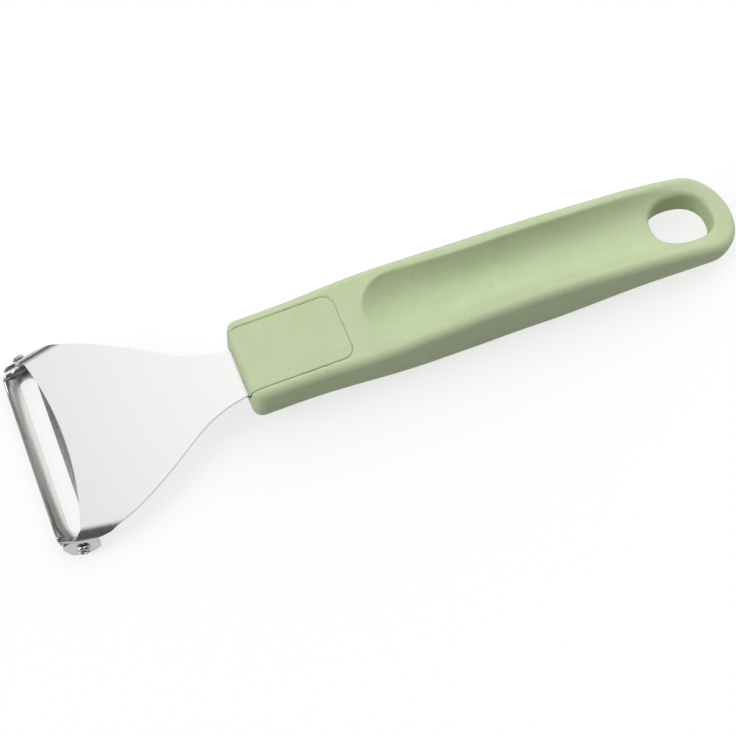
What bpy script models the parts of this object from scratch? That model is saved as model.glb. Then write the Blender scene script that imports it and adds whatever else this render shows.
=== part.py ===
"""Horizontal vegetable peeler: moulded handle, pressed-in tang cover, stamped head and swivelling blade.

Metres, +Z up. The peeler lies as it does on a table, on the tips of its two ears and on the flat
under the handle. X runs from the head to the hanging hole, Y across, and the origin is under the
middle of its length.
"""
import math

import bmesh
import bpy
import numpy as np
from mathutils import Matrix, Vector

MM = 0.001

# Driving dimensions, in millimetres.
# The handle's places are measured from its front face or from its tail's end, its heights from the table.
HANDLE_LENGTH = 130.0
FRONT_WIDTH = 21.0
SHOULDER_WIDTH = 22.8
SHOULDER_PLACE = 33.0
GRIP_WIDTH = 21.6
GRIP_PLACE = 66.0
TAIL_WIDTH = 22.5
TAIL_FROM_END = 18.0
FRONT_TOP = 17.4
CREST_TOP = 18.9
CREST_PLACE = 64.0
SLOPE_TOP = 15.7
SLOPE_FROM_END = 30.0
FALL_TOP = 13.1
FALL_FROM_END = 16.0
TAIL_TOP = 8.4
FRONT_BOTTOM = 6.2
BLOCK_BOTTOM = 5.1
BLOCK_PLACE = 24.0
BELLY_BOTTOM = 1.6
BELLY_PLACE = 45.0
FLAT_START = 62.0
FLAT_LENGTH = 12.0
RISE_BOTTOM = 3.5
RISE_FROM_END = 24.0
TAIL_BOTTOM = 2.6
TAIL_ROUND = 10.5
FRONT_CORNER_RADIUS = 2.4
TOP_EDGE_RADIUS = 2.1
FRONT_UNDER_RADIUS = 1.2
SHOULDER_UNDER_RADIUS = 3.8
GRIP_UNDER_RADIUS = 5.2
TAIL_UNDER_RADIUS = 3.2

# The thumb scoop in the handle's top.
SCOOP_START = 30.4
SCOOP_FROM_END = 3.0
SCOOP_FRONT_WIDTH = 17.3
SCOOP_WAIST_WIDTH = 15.4
SCOOP_WAIST_PLACE = 60.0
SCOOP_REAR_WIDTH = 17.1
SCOOP_REAR_FROM_END = 25.0
SCOOP_FRONT_ROUND = 9.0
SCOOP_REAR_ROUND = 14.0
SCOOP_FRONT_FLOOR = 14.2
SCOOP_MIDDLE_FLOOR = 13.2
SCOOP_MIDDLE_PLACE = 66.0
SCOOP_TAIL_FLOOR = 10.6
SCOOP_ROUNDNESS = 1.25

# The hanging hole.
HOLE_FROM_END = 14.6
HOLE_LENGTH = 16.8
HOLE_WIDTH = 12.4
HOLE_EDGE_RADIUS = 1.2
HOLE_LIP_RADIUS = 1.2

# The sheet that makes the tang, the neck and the head.
SHEET = 0.9
NECK_WIDTH = 11.6
TANG_LENGTH = 23.4
TANG_TILT = 1.8
HEAD_PITCH = 3.4
NECK_BEND_LENGTH = 3.0
FLARE_START = 2.9
NECK_FLARE_RADIUS = 31.5
FLARE_ANGLE = 33.0
FLARE_STRAIGHT = 6.6
FLARE_OUTER_RADIUS = 100.0
HEAD_ARC_PLACE = 42.2
HEAD_ARC_SAG = 2.6
HEAD_ARC_HALF_WIDTH = 19.6

# The two ears, bent down from the head's corners.
PIVOT_PLACE = 46.3
EAR_SPAN = 47.8
EAR_BEND = 70.0
EAR_SPLAY = 11.5
EAR_FRONT_BEND_RADIUS = 3.0
EAR_REAR_BEND_RADIUS = 3.0
EAR_BEND_LENGTH = 7.0
PIVOT_DROP = 3.6
EAR_TIP_DROP = 2.2
EAR_FRONT_LOBE = 4.4
EAR_REAR_LOBE = 3.9
PIVOT_HOLE = 2.7

# The blade, a trough with a slot between its two strips.
BLADE_SHEET = 0.6
BLADE_WIDTH = 9.8
BLADE_DEPTH = 2.5
BLADE_FLOOR_DROP = 1.6
BLADE_CORNER = 6.2
BLADE_CORNER_RISE = 1.2
SLOT_WIDTH = 4.2
SLOT_LENGTH = 40.0
LUG_WIDTH = 5.8
LUG_TOP = 1.7
LUG_BEND_RADIUS = 1.0
LUG_CLEARANCE = 0.6
STUD_DIAMETER = 2.1
CROWN_DIAMETER = 3.0
CROWN_LENGTH = 0.8
CROWN_BORE = 1.1
CROWN_NICK = 0.4

# The cover pressed into the handle over the tang.
COVER_LENGTH = 25.1
COVER_WIDTH = 16.3
COVER_CORNER_RADIUS = 2.7
COVER_DRAFT_WIDTH = 3.3
COVER_DRAFT_LENGTH = 0.8
COVER_WALL = 1.9
PEG_DIAMETER = 2.8
PEG_DEPTH = 2.2
PEG_PLACES = (7.5, 18.0)

# One gap for touching pieces that don't move, and the height that a cutter stands out above the handle.
GAP = 0.3
CUTTER_RISE = 10.0

# Places that follow from the sizes above.
TAIL_PLACE = HANDLE_LENGTH - TAIL_FROM_END
SLOPE_PLACE = HANDLE_LENGTH - SLOPE_FROM_END
FALL_PLACE = HANDLE_LENGTH - FALL_FROM_END
FLAT_END = FLAT_START + FLAT_LENGTH
RISE_PLACE = HANDLE_LENGTH - RISE_FROM_END
SCOOP_REAR_PLACE = HANDLE_LENGTH - SCOOP_REAR_FROM_END
SCOOP_END = HANDLE_LENGTH - SCOOP_FROM_END
HOLE_PLACE = HANDLE_LENGTH - HOLE_FROM_END
CUTTER_TOP = CREST_TOP + CUTTER_RISE


def smooth_through(place, places, values):
    """Read a smooth curve that passes through a few sizes and never overshoots them."""
    places, values = np.asarray(places, float), np.asarray(values, float)
    step = np.diff(places)
    rise = np.diff(values) / step
    slope = np.concatenate([[rise[0]], np.zeros(len(places) - 2), [rise[-1]]])
    same_way = rise[:-1] * rise[1:] > 0
    mean = 2 * rise[:-1] * rise[1:] / np.where(same_way, rise[:-1] + rise[1:], 1)
    slope[1:-1] = np.where(same_way, mean, 0)
    place = np.clip(place, places[0], places[-1])
    span = np.clip(np.searchsorted(places, place, side="right") - 1, 0, len(places) - 2)
    t = (place - places[span]) / step[span]
    start, end = values[span], values[span + 1]
    return ((2 * t ** 3 - 3 * t ** 2 + 1) * start + (t ** 3 - 2 * t ** 2 + t) * step[span] * slope[span]
            + (3 * t ** 2 - 2 * t ** 3) * end + (t ** 3 - t ** 2) * step[span] * slope[span + 1])


def handle_half_width(place):
    """Half the handle's width: a narrow front block, a shoulder and a long taper."""
    places = [0.0, COVER_LENGTH * 0.5, SHOULDER_PLACE, GRIP_PLACE, TAIL_PLACE]
    widths = [FRONT_WIDTH, FRONT_WIDTH + 0.2, SHOULDER_WIDTH, GRIP_WIDTH, TAIL_WIDTH]
    return smooth_through(place, places, widths) / 2


def handle_top(place):
    """Height of the handle's upper face."""
    places = [0.0, CREST_PLACE, SLOPE_PLACE, FALL_PLACE, HANDLE_LENGTH]
    return smooth_through(place, places, [FRONT_TOP, CREST_TOP, SLOPE_TOP, FALL_TOP, TAIL_TOP])


def handle_bottom(place):
    """Height of the handle's underside, with the flat that it rests on."""
    places = [0.0, BLOCK_PLACE, BELLY_PLACE, FLAT_START, FLAT_END, RISE_PLACE, HANDLE_LENGTH]
    heights = [FRONT_BOTTOM, BLOCK_BOTTOM, BELLY_BOTTOM, 0.0, 0.0, RISE_BOTTOM, TAIL_BOTTOM]
    return smooth_through(place, places, heights)


def under_radius(place):
    """Rounding of the lower edges, small at the front face and fullest under the grip."""
    return smooth_through(place, [0.0, SHOULDER_PLACE, GRIP_PLACE, RISE_PLACE],
                          [FRONT_UNDER_RADIUS, SHOULDER_UNDER_RADIUS, GRIP_UNDER_RADIUS, TAIL_UNDER_RADIUS])


def handle_stations():
    """Points round the handle's plan as (kind, share), from the middle of the front to the tail."""
    face = [("face", s) for s in np.linspace(0, 1, 4)[:-1]]
    corner = [("corner", s) for s in np.linspace(0, 1, 6)[:-1]]
    side = [("side", s) for s in np.linspace(0, 1, 23)[:-1]]
    tail = [("tail", s) for s in np.linspace(0, 1, 13)]
    return face + corner + side + tail


def plan_point(kind, share, inset):
    """One point of the handle's plan outline, moved inwards by the inset."""
    corner = max(FRONT_CORNER_RADIUS - inset, 0.02)
    front_half = handle_half_width(0.0) - inset
    tail_start = HANDLE_LENGTH - TAIL_ROUND
    if kind == "face":
        return inset, share * (front_half - corner)
    if kind == "corner":
        turn = share * math.pi / 2
        return inset + corner * (1 - math.cos(turn)), front_half - corner * (1 - math.sin(turn))
    if kind == "side":
        place = inset + corner + share * (tail_start - inset - corner)
        return place, handle_half_width(place) - inset
    turn = share * math.pi / 2
    reach, half = TAIL_ROUND - inset, handle_half_width(tail_start) - inset
    return tail_start + reach * math.sin(turn), half * math.cos(turn)


def new_mesh_object(name, points, faces, collection, material=None):
    """Make an object from points in millimetres, with its faces turned outwards."""
    mesh = bpy.data.meshes.new(name)
    mesh.from_pydata([tuple(MM * c for c in p) for p in points], [], faces)
    bm = bmesh.new()
    bm.from_mesh(mesh)
    bmesh.ops.remove_doubles(bm, verts=bm.verts, dist=0.005 * MM)
    bmesh.ops.dissolve_degenerate(bm, dist=0.002 * MM, edges=bm.edges)
    bmesh.ops.recalc_face_normals(bm, faces=bm.faces)
    bm.to_mesh(mesh)
    bm.free()
    piece = bpy.data.objects.new(name, mesh)
    collection.objects.link(piece)
    if material is not None:
        mesh.materials.append(material)
    return piece


def skin_rings(rings):
    """Faces between closed rings of equal length, with both ends left to be closed by their points."""
    count = len(rings[0])
    faces = []
    for r in range(len(rings) - 1):
        for i in range(count):
            j = (i + 1) % count
            faces.append((r * count + i, r * count + j, (r + 1) * count + j, (r + 1) * count + i))
    return [p for ring in rings for p in ring], faces


def handle_body(name, collection, material=None):
    """The handle's outer form: plan outline rings from the underside over the edges to the top."""
    stations = handle_stations()
    right = [s for s in stations[1:-1]]
    loop = [(k, s, 1) for k, s in stations] + [(k, s, -1) for k, s in reversed(right)]

    def ring(share, upper):
        points = []
        for kind, place_share, side in loop:
            x, y = plan_point(kind, place_share, 0.0)
            radius = TOP_EDGE_RADIUS if upper else float(under_radius(x))
            turn = share * math.pi / 2
            x, y = plan_point(kind, place_share, radius * (1 - math.sin(turn)))
            rounding = radius * (1 - math.cos(turn))
            z = handle_top(x) - rounding if upper else handle_bottom(x) + rounding
            points.append((x, side * y, float(z)))
        return points

    def spine(upper):
        points = []
        for x, _y, _z in ring(0.0, upper):
            x = min(max(x, TOP_EDGE_RADIUS * 2), HANDLE_LENGTH - TAIL_ROUND)
            points.append((x, 0.0, float(handle_top(x) if upper else handle_bottom(x))))
        return points

    shares = [k / 4 for k in range(5)]
    rings = [spine(False)] + [ring(s, False) for s in shares]
    rings += [ring(s, True) for s in reversed(shares)] + [spine(True)]
    points, faces = skin_rings(rings)
    return new_mesh_object(name, points, faces, collection, material)


def scoop_half_width(place):
    """Half the width of the scoop's rim along its straight part."""
    places = [SCOOP_START + SCOOP_FRONT_ROUND, SCOOP_WAIST_PLACE, SCOOP_REAR_PLACE]
    return float(smooth_through(place, places, [SCOOP_FRONT_WIDTH, SCOOP_WAIST_WIDTH, SCOOP_REAR_WIDTH])) / 2


def scoop_end_share(place):
    """How far a place has gone into a rounded end, 0 in the straight part and 1 at the rim."""
    front = (SCOOP_START + SCOOP_FRONT_ROUND - place) / SCOOP_FRONT_ROUND
    rear = (place - SCOOP_END + SCOOP_REAR_ROUND) / SCOOP_REAR_ROUND
    return max(front, rear, 0.0)


def scoop_height(x, y):
    """Height of the scoop's surface; it meets the handle's top along the rim and rises beyond it."""
    places = [SCOOP_START, SCOOP_MIDDLE_PLACE, HOLE_PLACE, HANDLE_LENGTH]
    floors = [SCOOP_FRONT_FLOOR, SCOOP_MIDDLE_FLOOR, SCOOP_TAIL_FLOOR, SCOOP_TAIL_FLOOR - 0.6]
    top = float(handle_top(x))
    depth = max(top - float(smooth_through(x, places, floors)), 0.6)
    spread = scoop_end_share(x) ** 2 + (y / scoop_half_width(x)) ** 2
    return top - depth * (1 - spread ** SCOOP_ROUNDNESS)


def scoop_cutter(collection):
    """The thumb scoop's tool: a dished form, round at both ends, that rises out of the handle's top."""
    reach, rows, columns = 1.12, 34, 16
    front_centre = SCOOP_START + SCOOP_FRONT_ROUND
    rear_centre = SCOOP_END - SCOOP_REAR_ROUND
    start, end = front_centre - reach * SCOOP_FRONT_ROUND, rear_centre + reach * SCOOP_REAR_ROUND
    turns = np.linspace(0, 1, rows)
    eased = 0.45 * turns + 0.55 * (1 - np.cos(np.pi * turns)) / 2
    floor, top = [], []
    for x in start + (end - start) * eased:
        into_end = min(scoop_end_share(x) / reach, 1.0)
        half = reach * scoop_half_width(x) * math.sqrt(max(1 - into_end ** 2, 0.0))
        floor_row, top_row = [], []
        for column in range(columns + 1):
            y = half * math.sin((column / columns - 0.5) * math.pi)
            floor_row.append((x, y, scoop_height(x, y)))
            top_row.append((x, y, CUTTER_TOP))
        floor.append(floor_row)
        top.append(top_row)
    points = [p for row in floor for p in row] + [p for row in top for p in row]
    wide, count = columns + 1, rows * (columns + 1)
    faces = []
    for r in range(rows - 1):
        for c in range(columns):
            a, b = r * wide + c, (r + 1) * wide + c
            faces.append((a, a + 1, b + 1, b))
            faces.append((count + a, count + b, count + b + 1, count + a + 1))
        for c in (0, columns):
            a, b = r * wide + c, (r + 1) * wide + c
            faces.append((a, b, count + b, count + a))
    return new_mesh_object("scoop_cutter", points, faces, collection)


def loft(name, low, high, collection, material=None):
    """A closed solid between two outlines of equal length, given as rings of points."""
    count = len(low)
    points, faces = skin_rings([low, high])
    faces.append(tuple(range(count)))
    faces.append(tuple(range(count, 2 * count)))
    return new_mesh_object(name, points, faces, collection, material)


def hole_cutter(collection):
    """The hanging hole's tool, an oval that flares into a rounded edge below and a rounded lip above."""
    count, squareness = 48, 2.3
    half_length, half_width = HOLE_LENGTH / 2, HOLE_WIDTH / 2
    bottom = float(handle_bottom(HOLE_PLACE))

    def ring(grow, z):
        points = []
        for i in range(count):
            turn = 2 * math.pi * i / count
            c, s = math.cos(turn), math.sin(turn)
            x = math.copysign(abs(c) ** (2 / squareness), c) * (half_length + grow)
            y = math.copysign(abs(s) ** (2 / squareness), s) * (half_width + grow)
            points.append((HOLE_PLACE + x, y, z))
        return points

    def lip_ring(share):
        turn = share * math.pi / 2
        grow, sink = HOLE_LIP_RADIUS * (1 - math.cos(turn)), HOLE_LIP_RADIUS * (1 - math.sin(turn))
        return [(x, y, scoop_height(x, y) - sink) for x, y, _ in ring(grow, 0.0)]

    rings = [ring(HOLE_EDGE_RADIUS, bottom - 2.0)]
    for step in range(5):
        turn = step / 4 * math.pi / 2
        rings.append(ring(HOLE_EDGE_RADIUS * (1 - math.sin(turn)), bottom + HOLE_EDGE_RADIUS * (1 - math.cos(turn))))
    rings += [lip_ring(share) for share in (0.0, 0.25, 0.5, 0.72)]
    rings.append(ring(HOLE_LIP_RADIUS, FALL_TOP + HOLE_LIP_RADIUS))
    points, faces = skin_rings(rings)
    faces.append(tuple(range(count)))
    faces.append(tuple(range(len(points) - count, len(points))))
    return new_mesh_object("hole_cutter", points, faces, collection)


def tang_height(place):
    """Height of the tang's middle plane at a place behind the handle's front face."""
    return neck_height() + place * math.tan(math.radians(TANG_TILT))


def cover_outline(place_low, draft, shrink):
    """Outline of the cover or its pocket: open past the front, round at the two rear corners."""
    half = COVER_WIDTH / 2 - draft * COVER_DRAFT_WIDTH / 2 - shrink
    end = COVER_LENGTH - draft * COVER_DRAFT_LENGTH - shrink
    radius = COVER_CORNER_RADIUS - shrink
    arc = [(end - radius * (1 - math.sin(t)), half - radius * (1 - math.cos(t)))
           for t in np.linspace(0, math.pi / 2, 7)]
    upper = [(place_low, half)] + arc
    return upper + [(x, -y) for x, y in reversed(upper)]


def pocket_form(name, collection, shrink, start, lift, high, material=None):
    """The drafted form that the pocket and its cover share, from the tang's level upwards."""
    low = [(x, y, tang_height(x) + lift) for x, y in cover_outline(start, 1.0, shrink)]
    top = [(x, y, high) for x, y in cover_outline(start, 0.0, shrink)]
    middle_height = tang_height(COVER_LENGTH / 2) + lift
    full = float(handle_top(COVER_LENGTH / 2))
    over = (high - middle_height) / (full - middle_height)
    top = [(lx + (x - lx) * over, ly + (y - ly) * over, z) for (lx, ly, _), (x, y, z) in zip(low, top)]
    return loft(name, low, top, collection, material)


def cylinder(name, radius, low, high, place, collection, sides=24, cone=None):
    """A cylinder along Z between two heights, in millimetres."""
    mesh = bpy.data.meshes.new(name)
    bm = bmesh.new()
    bmesh.ops.create_cone(bm, cap_ends=True, segments=sides, radius1=radius * MM,
                          radius2=(radius if cone is None else cone) * MM, depth=(high - low) * MM)
    bm.to_mesh(mesh)
    bm.free()
    piece = bpy.data.objects.new(name, mesh)
    collection.objects.link(piece)
    piece.location = (place[0] * MM, place[1] * MM, (low + high) / 2 * MM)
    return piece


def cut(piece, tool, operation="DIFFERENCE"):
    """Add a Boolean to a piece and put its tool out of sight."""
    modifier = piece.modifiers.new(tool.name, "BOOLEAN")
    modifier.operation = operation
    modifier.object = tool
    modifier.solver = "EXACT"
    tool.hide_render = True
    tool.display_type = "WIRE"


# The head is drawn flat, then bent. Its own frame has its origin where the middle of the sheet leaves
# the handle, X to the rear and Z up.
def ear_bend_radius(along):
    """Radius of the ear's bend, wide at its front and tight at its rear."""
    share = min(max(along / EAR_BEND_LENGTH, 0.0), 1.0)
    return EAR_FRONT_BEND_RADIUS + (EAR_REAR_BEND_RADIUS - EAR_FRONT_BEND_RADIUS) * share


def ear_frame():
    """Corner line of the ear's bend: a point level with the pivot, its direction and its outward side."""
    splay, bend = math.radians(EAR_SPLAY), math.radians(EAR_BEND)
    along = Vector((math.cos(splay), math.sin(splay), 0))
    out = Vector((-math.sin(splay), math.cos(splay), 0))
    pivot_depth = PIVOT_DROP / math.sin(bend)
    pivot = Vector((-PIVOT_PLACE, EAR_SPAN / 2, 0))
    return pivot - out * (pivot_depth * math.cos(bend)), along, out


def ear_blank_point(along, down):
    """Place on the flat sheet of a point of the ear, given along the bend and down the ear's face."""
    origin, direction, out = ear_frame()
    bend = math.radians(EAR_BEND)
    allowance = ear_bend_radius(along) * (bend - 2 * math.tan(bend / 2))
    flat = origin + direction * along + out * (down + allowance)
    return flat.x, flat.y


def bend_sheet(point):
    """Carry a point of the flat head sheet to its place on the bent head."""
    x, y, height = point
    side = 1.0 if y >= 0 else -1.0
    origin, direction, out = ear_frame()
    offset = Vector((x, abs(y), 0)) - origin
    along, reach = offset.dot(direction), offset.dot(out)
    bend, radius = math.radians(EAR_BEND), ear_bend_radius(offset.dot(direction))
    start = -radius * math.tan(bend / 2)
    length = reach - start
    if length > 0:
        turn = min(length / radius, bend)
        rest = max(length - radius * bend, 0.0)
        outward = start + radius * math.sin(turn) + rest * math.cos(turn) + height * math.sin(turn)
        z = -radius * (1 - math.cos(turn)) - rest * math.sin(turn) + height * math.cos(turn)
        place = origin + direction * along + out * outward
        x, y = place.x, side * place.y
    else:
        z = height
    pitch = math.radians(HEAD_PITCH) * min(max(-x / NECK_BEND_LENGTH, 0.0), 1.0)
    lean = math.radians(HEAD_PITCH) if x < -NECK_BEND_LENGTH else pitch
    if x >= 0:
        return x, y, z
    fall = 0.5 * math.radians(HEAD_PITCH) * min(-x, NECK_BEND_LENGTH) ** 2 / NECK_BEND_LENGTH
    fall += math.tan(math.radians(HEAD_PITCH)) * max(-x - NECK_BEND_LENGTH, 0.0)
    return x - z * math.sin(lean), y, z * math.cos(lean) - fall


def neck_height():
    """Height of the sheet's middle where it leaves the handle, with the ears' tips on the table."""
    tilt = math.radians(TANG_TILT)
    bend = math.radians(EAR_BEND)
    tip = PIVOT_DROP / math.sin(bend) + EAR_TIP_DROP
    lowest = 0.0
    for along in np.linspace(-EAR_FRONT_LOBE, EAR_REAR_LOBE, 31):
        x, y = ear_blank_point(along, tip)
        bent = bend_sheet((x, y, -SHEET / 2))
        lowest = min(lowest, bent[2] * math.cos(tilt) + bent[0] * math.sin(tilt))
    return -lowest


def arc_points(centre, radius, start, end, count):
    """Points on an arc, its angles in degrees from +X."""
    return [(centre[0] + radius * math.cos(math.radians(a)), centre[1] + radius * math.sin(math.radians(a)))
            for a in np.linspace(start, end, count)]


def rounded(points, radii, steps=5):
    """Round the corners of a run of points; the first and last stay as they are."""
    result = [points[0]]
    for before, corner, after, radius in zip(points, points[1:], points[2:], radii):
        here, back, on = Vector(corner), Vector(before), Vector(after)
        to_back, to_on = (back - here), (on - here)
        half = to_back.angle(to_on) / 2
        reach = min(radius / math.tan(half), 0.48 * to_back.length, 0.48 * to_on.length)
        start, end = here + to_back.normalized() * reach, here + to_on.normalized() * reach
        for step in range(steps + 1):
            t = step / steps
            middle = start.lerp(here, t).lerp(here.lerp(end, t), t)
            result.append((middle.x, middle.y))
    return result + [points[-1]]


def head_half_outline():
    """Upper half of the flat head sheet, from the middle of its front arc round to the tang's end."""
    half_chord, sag = HEAD_ARC_HALF_WIDTH, HEAD_ARC_SAG
    arc_radius = (half_chord ** 2 + sag ** 2) / (2 * sag)
    spread = math.degrees(math.asin(half_chord / arc_radius))
    centre = (-HEAD_ARC_PLACE - arc_radius, 0.0)
    front = arc_points(centre, arc_radius, 0.0, spread, 9)

    pivot_down = PIVOT_DROP / math.sin(math.radians(EAR_BEND))
    bottom, lobe, heel = pivot_down + EAR_TIP_DROP, EAR_FRONT_LOBE, EAR_REAR_LOBE
    ear = [(0.5, -1.2), (-1.2, 1.0), (-lobe, pivot_down - 1.7), (-lobe + 0.1, pivot_down - 0.4), (-lobe + 1.5, bottom - 0.3),
           (0.2, bottom), (2.0, bottom - 0.6), (heel + 0.1, pivot_down + 0.3), (heel - 0.1, pivot_down - 1.2),
           (heel - 0.8, pivot_down - 2.3), (EAR_BEND_LENGTH, 0.4)]
    corners = [front[-1]] + [ear_blank_point(a, d) for a, d in ear]

    flare = math.radians(FLARE_ANGLE)
    neck = NECK_WIDTH / 2
    inner = arc_points((FLARE_START, neck + NECK_FLARE_RADIUS), NECK_FLARE_RADIUS, -90.0 - FLARE_ANGLE, -90.0, 9)
    straight_end = (inner[0][0] - FLARE_STRAIGHT * math.cos(flare), inner[0][1] + FLARE_STRAIGHT * math.sin(flare))
    outer_centre = (straight_end[0] - FLARE_OUTER_RADIUS * math.sin(flare),
                    straight_end[1] - FLARE_OUTER_RADIUS * math.cos(flare))
    outer = arc_points(outer_centre, FLARE_OUTER_RADIUS, 90.0 - FLARE_ANGLE + 8.4, 90.0 - FLARE_ANGLE, 8)
    run = front[-2:-1] + corners + [outer[0]]
    radii = [1.0, 2.0, 0.5, 1.0, 1.0, 3.0, 3.0, 1.2, 0.8, 0.6, 4.0]
    edge = rounded(run, [1.6] + radii)
    tang_corner = 1.5
    tang = [(TANG_LENGTH - tang_corner, neck)]
    tang += arc_points((TANG_LENGTH - tang_corner, neck - tang_corner), tang_corner, 90.0, 0.0, 5)[1:]
    return front[:-2] + edge[:-1] + outer + inner + tang


def flat_sheet(name, outline, holes, thickness, collection):
    """A flat sheet from an outline and round holes, as a filled 2D curve that is made a mesh."""
    curve = bpy.data.curves.new(name, "CURVE")
    curve.dimensions = "2D"
    curve.fill_mode = "BOTH"
    curve.extrude = thickness / 2 * MM
    loops = [outline] + [arc_points((x, y), r, 0.0, 360.0, 25)[:-1] for x, y, r in holes]
    for loop in loops:
        spline = curve.splines.new("POLY")
        spline.points.add(len(loop) - 1)
        for point, (x, y) in zip(spline.points, loop):
            point.co = (x * MM, y * MM, 0, 1)
        spline.use_cyclic_u = True
    source = bpy.data.objects.new(name + "_curve", curve)
    collection.objects.link(source)
    depsgraph = bpy.context.evaluated_depsgraph_get()
    mesh = bpy.data.meshes.new_from_object(source.evaluated_get(depsgraph))
    bpy.data.objects.remove(source)
    bpy.data.curves.remove(curve)
    mesh.name = name
    return mesh


def bent_from_flat(name, mesh, cuts, carry, collection, material):
    """Score a flat sheet along its bends, carry every point to its bent place and make the object."""
    bm = bmesh.new()
    bm.from_mesh(mesh)
    bmesh.ops.remove_doubles(bm, verts=bm.verts, dist=0.005 * MM)
    for place, normal in cuts:
        whole = bm.verts[:] + bm.edges[:] + bm.faces[:]
        bmesh.ops.bisect_plane(bm, geom=whole, dist=0.002 * MM, plane_co=Vector(place) * MM, plane_no=normal)
    bmesh.ops.triangulate(bm, faces=bm.faces)
    for vertex in bm.verts:
        bent = carry(tuple(c / MM for c in vertex.co))
        vertex.co = Vector(bent) * MM
    bmesh.ops.dissolve_degenerate(bm, dist=0.002 * MM, edges=bm.edges)
    bmesh.ops.recalc_face_normals(bm, faces=bm.faces)
    bm.to_mesh(mesh)
    bm.free()
    piece = bpy.data.objects.new(name, mesh)
    collection.objects.link(piece)
    mesh.materials.append(material)
    return piece


def make_head(collection, material):
    """The stamped sheet: tang with its two holes, neck, flared head and two bent ears."""
    half = head_half_outline()
    outline = half + [(x, -y) for x, y in reversed(half[1:])]
    pivot_down = PIVOT_DROP / math.sin(math.radians(EAR_BEND))
    pivot_x, pivot_y = ear_blank_point(0.0, pivot_down)
    holes = [(pivot_x, pivot_y, PIVOT_HOLE / 2), (pivot_x, -pivot_y, PIVOT_HOLE / 2)]
    holes += [(place, 0.0, PEG_DIAMETER / 2 + GAP) for place in PEG_PLACES]
    mesh = flat_sheet("head_plate", outline, holes, SHEET, collection)

    cuts = [((-NECK_BEND_LENGTH * s, 0, 0), (1, 0, 0)) for s in (0.0, 0.5, 1.0)]
    origin, direction, out = ear_frame()
    bend = math.radians(EAR_BEND)
    reach = EAR_BEND_LENGTH
    for side in (1, -1):
        for share in np.linspace(0, 1, 7):
            ends = []
            for along in (0.0, reach):
                radius = ear_bend_radius(along)
                ends.append(origin + direction * along + out * (radius * (share * bend - math.tan(bend / 2))))
            line = (ends[1] - ends[0]).normalized()
            place, normal = ends[0], Vector((-line.y, line.x, 0))
            cuts.append(((place.x, side * place.y, 0), (normal.x, side * normal.y, 0)))
    return bent_from_flat("head_plate", mesh, cuts, bend_sheet, collection, material)


def blade_half_outline():
    """One quarter of the flat blade's edge, from the middle of a long side to the top of a lug."""
    wide = trough_radius() * math.asin(BLADE_WIDTH / 2 / trough_radius())
    _straight, foot, top = lug_lengths()
    lug = LUG_WIDTH / 2
    start = foot - BLADE_CORNER
    corner = [(lug + (wide - lug) * math.cos(t), start + BLADE_CORNER * math.sin(t))
              for t in np.linspace(0, math.pi / 2, 8)]
    end = rounded([corner[-1], (lug, top + 0.2), (0.0, top + 0.4)], [2.6])
    return [(wide, 0.0)] + corner + end[1:]


def trough_radius():
    """Radius of the blade's trough, from its width and depth."""
    return ((BLADE_WIDTH / 2) ** 2 + BLADE_DEPTH ** 2) / (2 * BLADE_DEPTH)


def lug_angle():
    """Turn of the sheet from the trough's floor up to the lug, which is parallel to the ear."""
    return math.radians(180.0 - EAR_BEND)


def lug_plane():
    """Distance of the lug's middle inside the pivot, across and down, measured square to the ear."""
    step = SHEET / 2 + LUG_CLEARANCE + BLADE_SHEET / 2
    tilt = math.radians(90.0 - EAR_BEND)
    return step * math.cos(tilt), step * math.sin(tilt)


def lug_lengths():
    """Lengths along the flat blade to the start of the lug's bend, its end and the lug's top."""
    turn = lug_angle()
    inside, below = lug_plane()
    rise_at_pivot = BLADE_FLOOR_DROP - below
    bend_rise = LUG_BEND_RADIUS * (1 - math.cos(turn))
    up = (rise_at_pivot - bend_rise) / math.sin(turn)
    bend_out = LUG_BEND_RADIUS * math.sin(turn)
    straight = EAR_SPAN / 2 - inside - bend_out - up * math.cos(turn)
    foot = straight + LUG_BEND_RADIUS * turn
    return straight, foot, foot + up + LUG_TOP


def bend_blade(point):
    """Carry a point of the flat blade to the trough, its upturned ends and its lugs."""
    across, along, height = point
    side = 1.0 if along >= 0 else -1.0
    straight, foot, _top = lug_lengths()
    shear = across * math.tan(math.radians(EAR_SPLAY))
    along = abs(along) - shear
    turn = lug_angle()
    if along <= straight:
        angle, y, z = 0.0, along, -BLADE_FLOOR_DROP
    elif along <= foot:
        angle = (along - straight) / LUG_BEND_RADIUS
        y = straight + LUG_BEND_RADIUS * math.sin(angle)
        z = -BLADE_FLOOR_DROP + LUG_BEND_RADIUS * (1 - math.cos(angle))
    else:
        angle = turn
        y = straight + LUG_BEND_RADIUS * math.sin(turn) + (along - foot) * math.cos(turn)
        z = -BLADE_FLOOR_DROP + LUG_BEND_RADIUS * (1 - math.cos(turn)) + (along - foot) * math.sin(turn)
    fade = min(max((foot - along) / (foot - straight + 0.6), 0.0), 1.0)
    fade = fade * fade * (3 - 2 * fade)
    curve = fade / trough_radius()
    if curve > 1e-6:
        arc = across * curve
        x = math.sin(arc) / curve - height * math.sin(arc)
        lift = (1 - math.cos(arc)) / curve + height * math.cos(arc)
    else:
        x, lift = across, height
    near_end = min(max((along - straight + 4.0) / 4.0, 0.0), 1.0)
    curl = BLADE_CORNER_RISE * near_end ** 2 * (2 * across / BLADE_WIDTH) ** 2
    return x, side * (y + shear - lift * math.sin(angle)), z + lift * math.cos(angle) + curl


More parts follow.
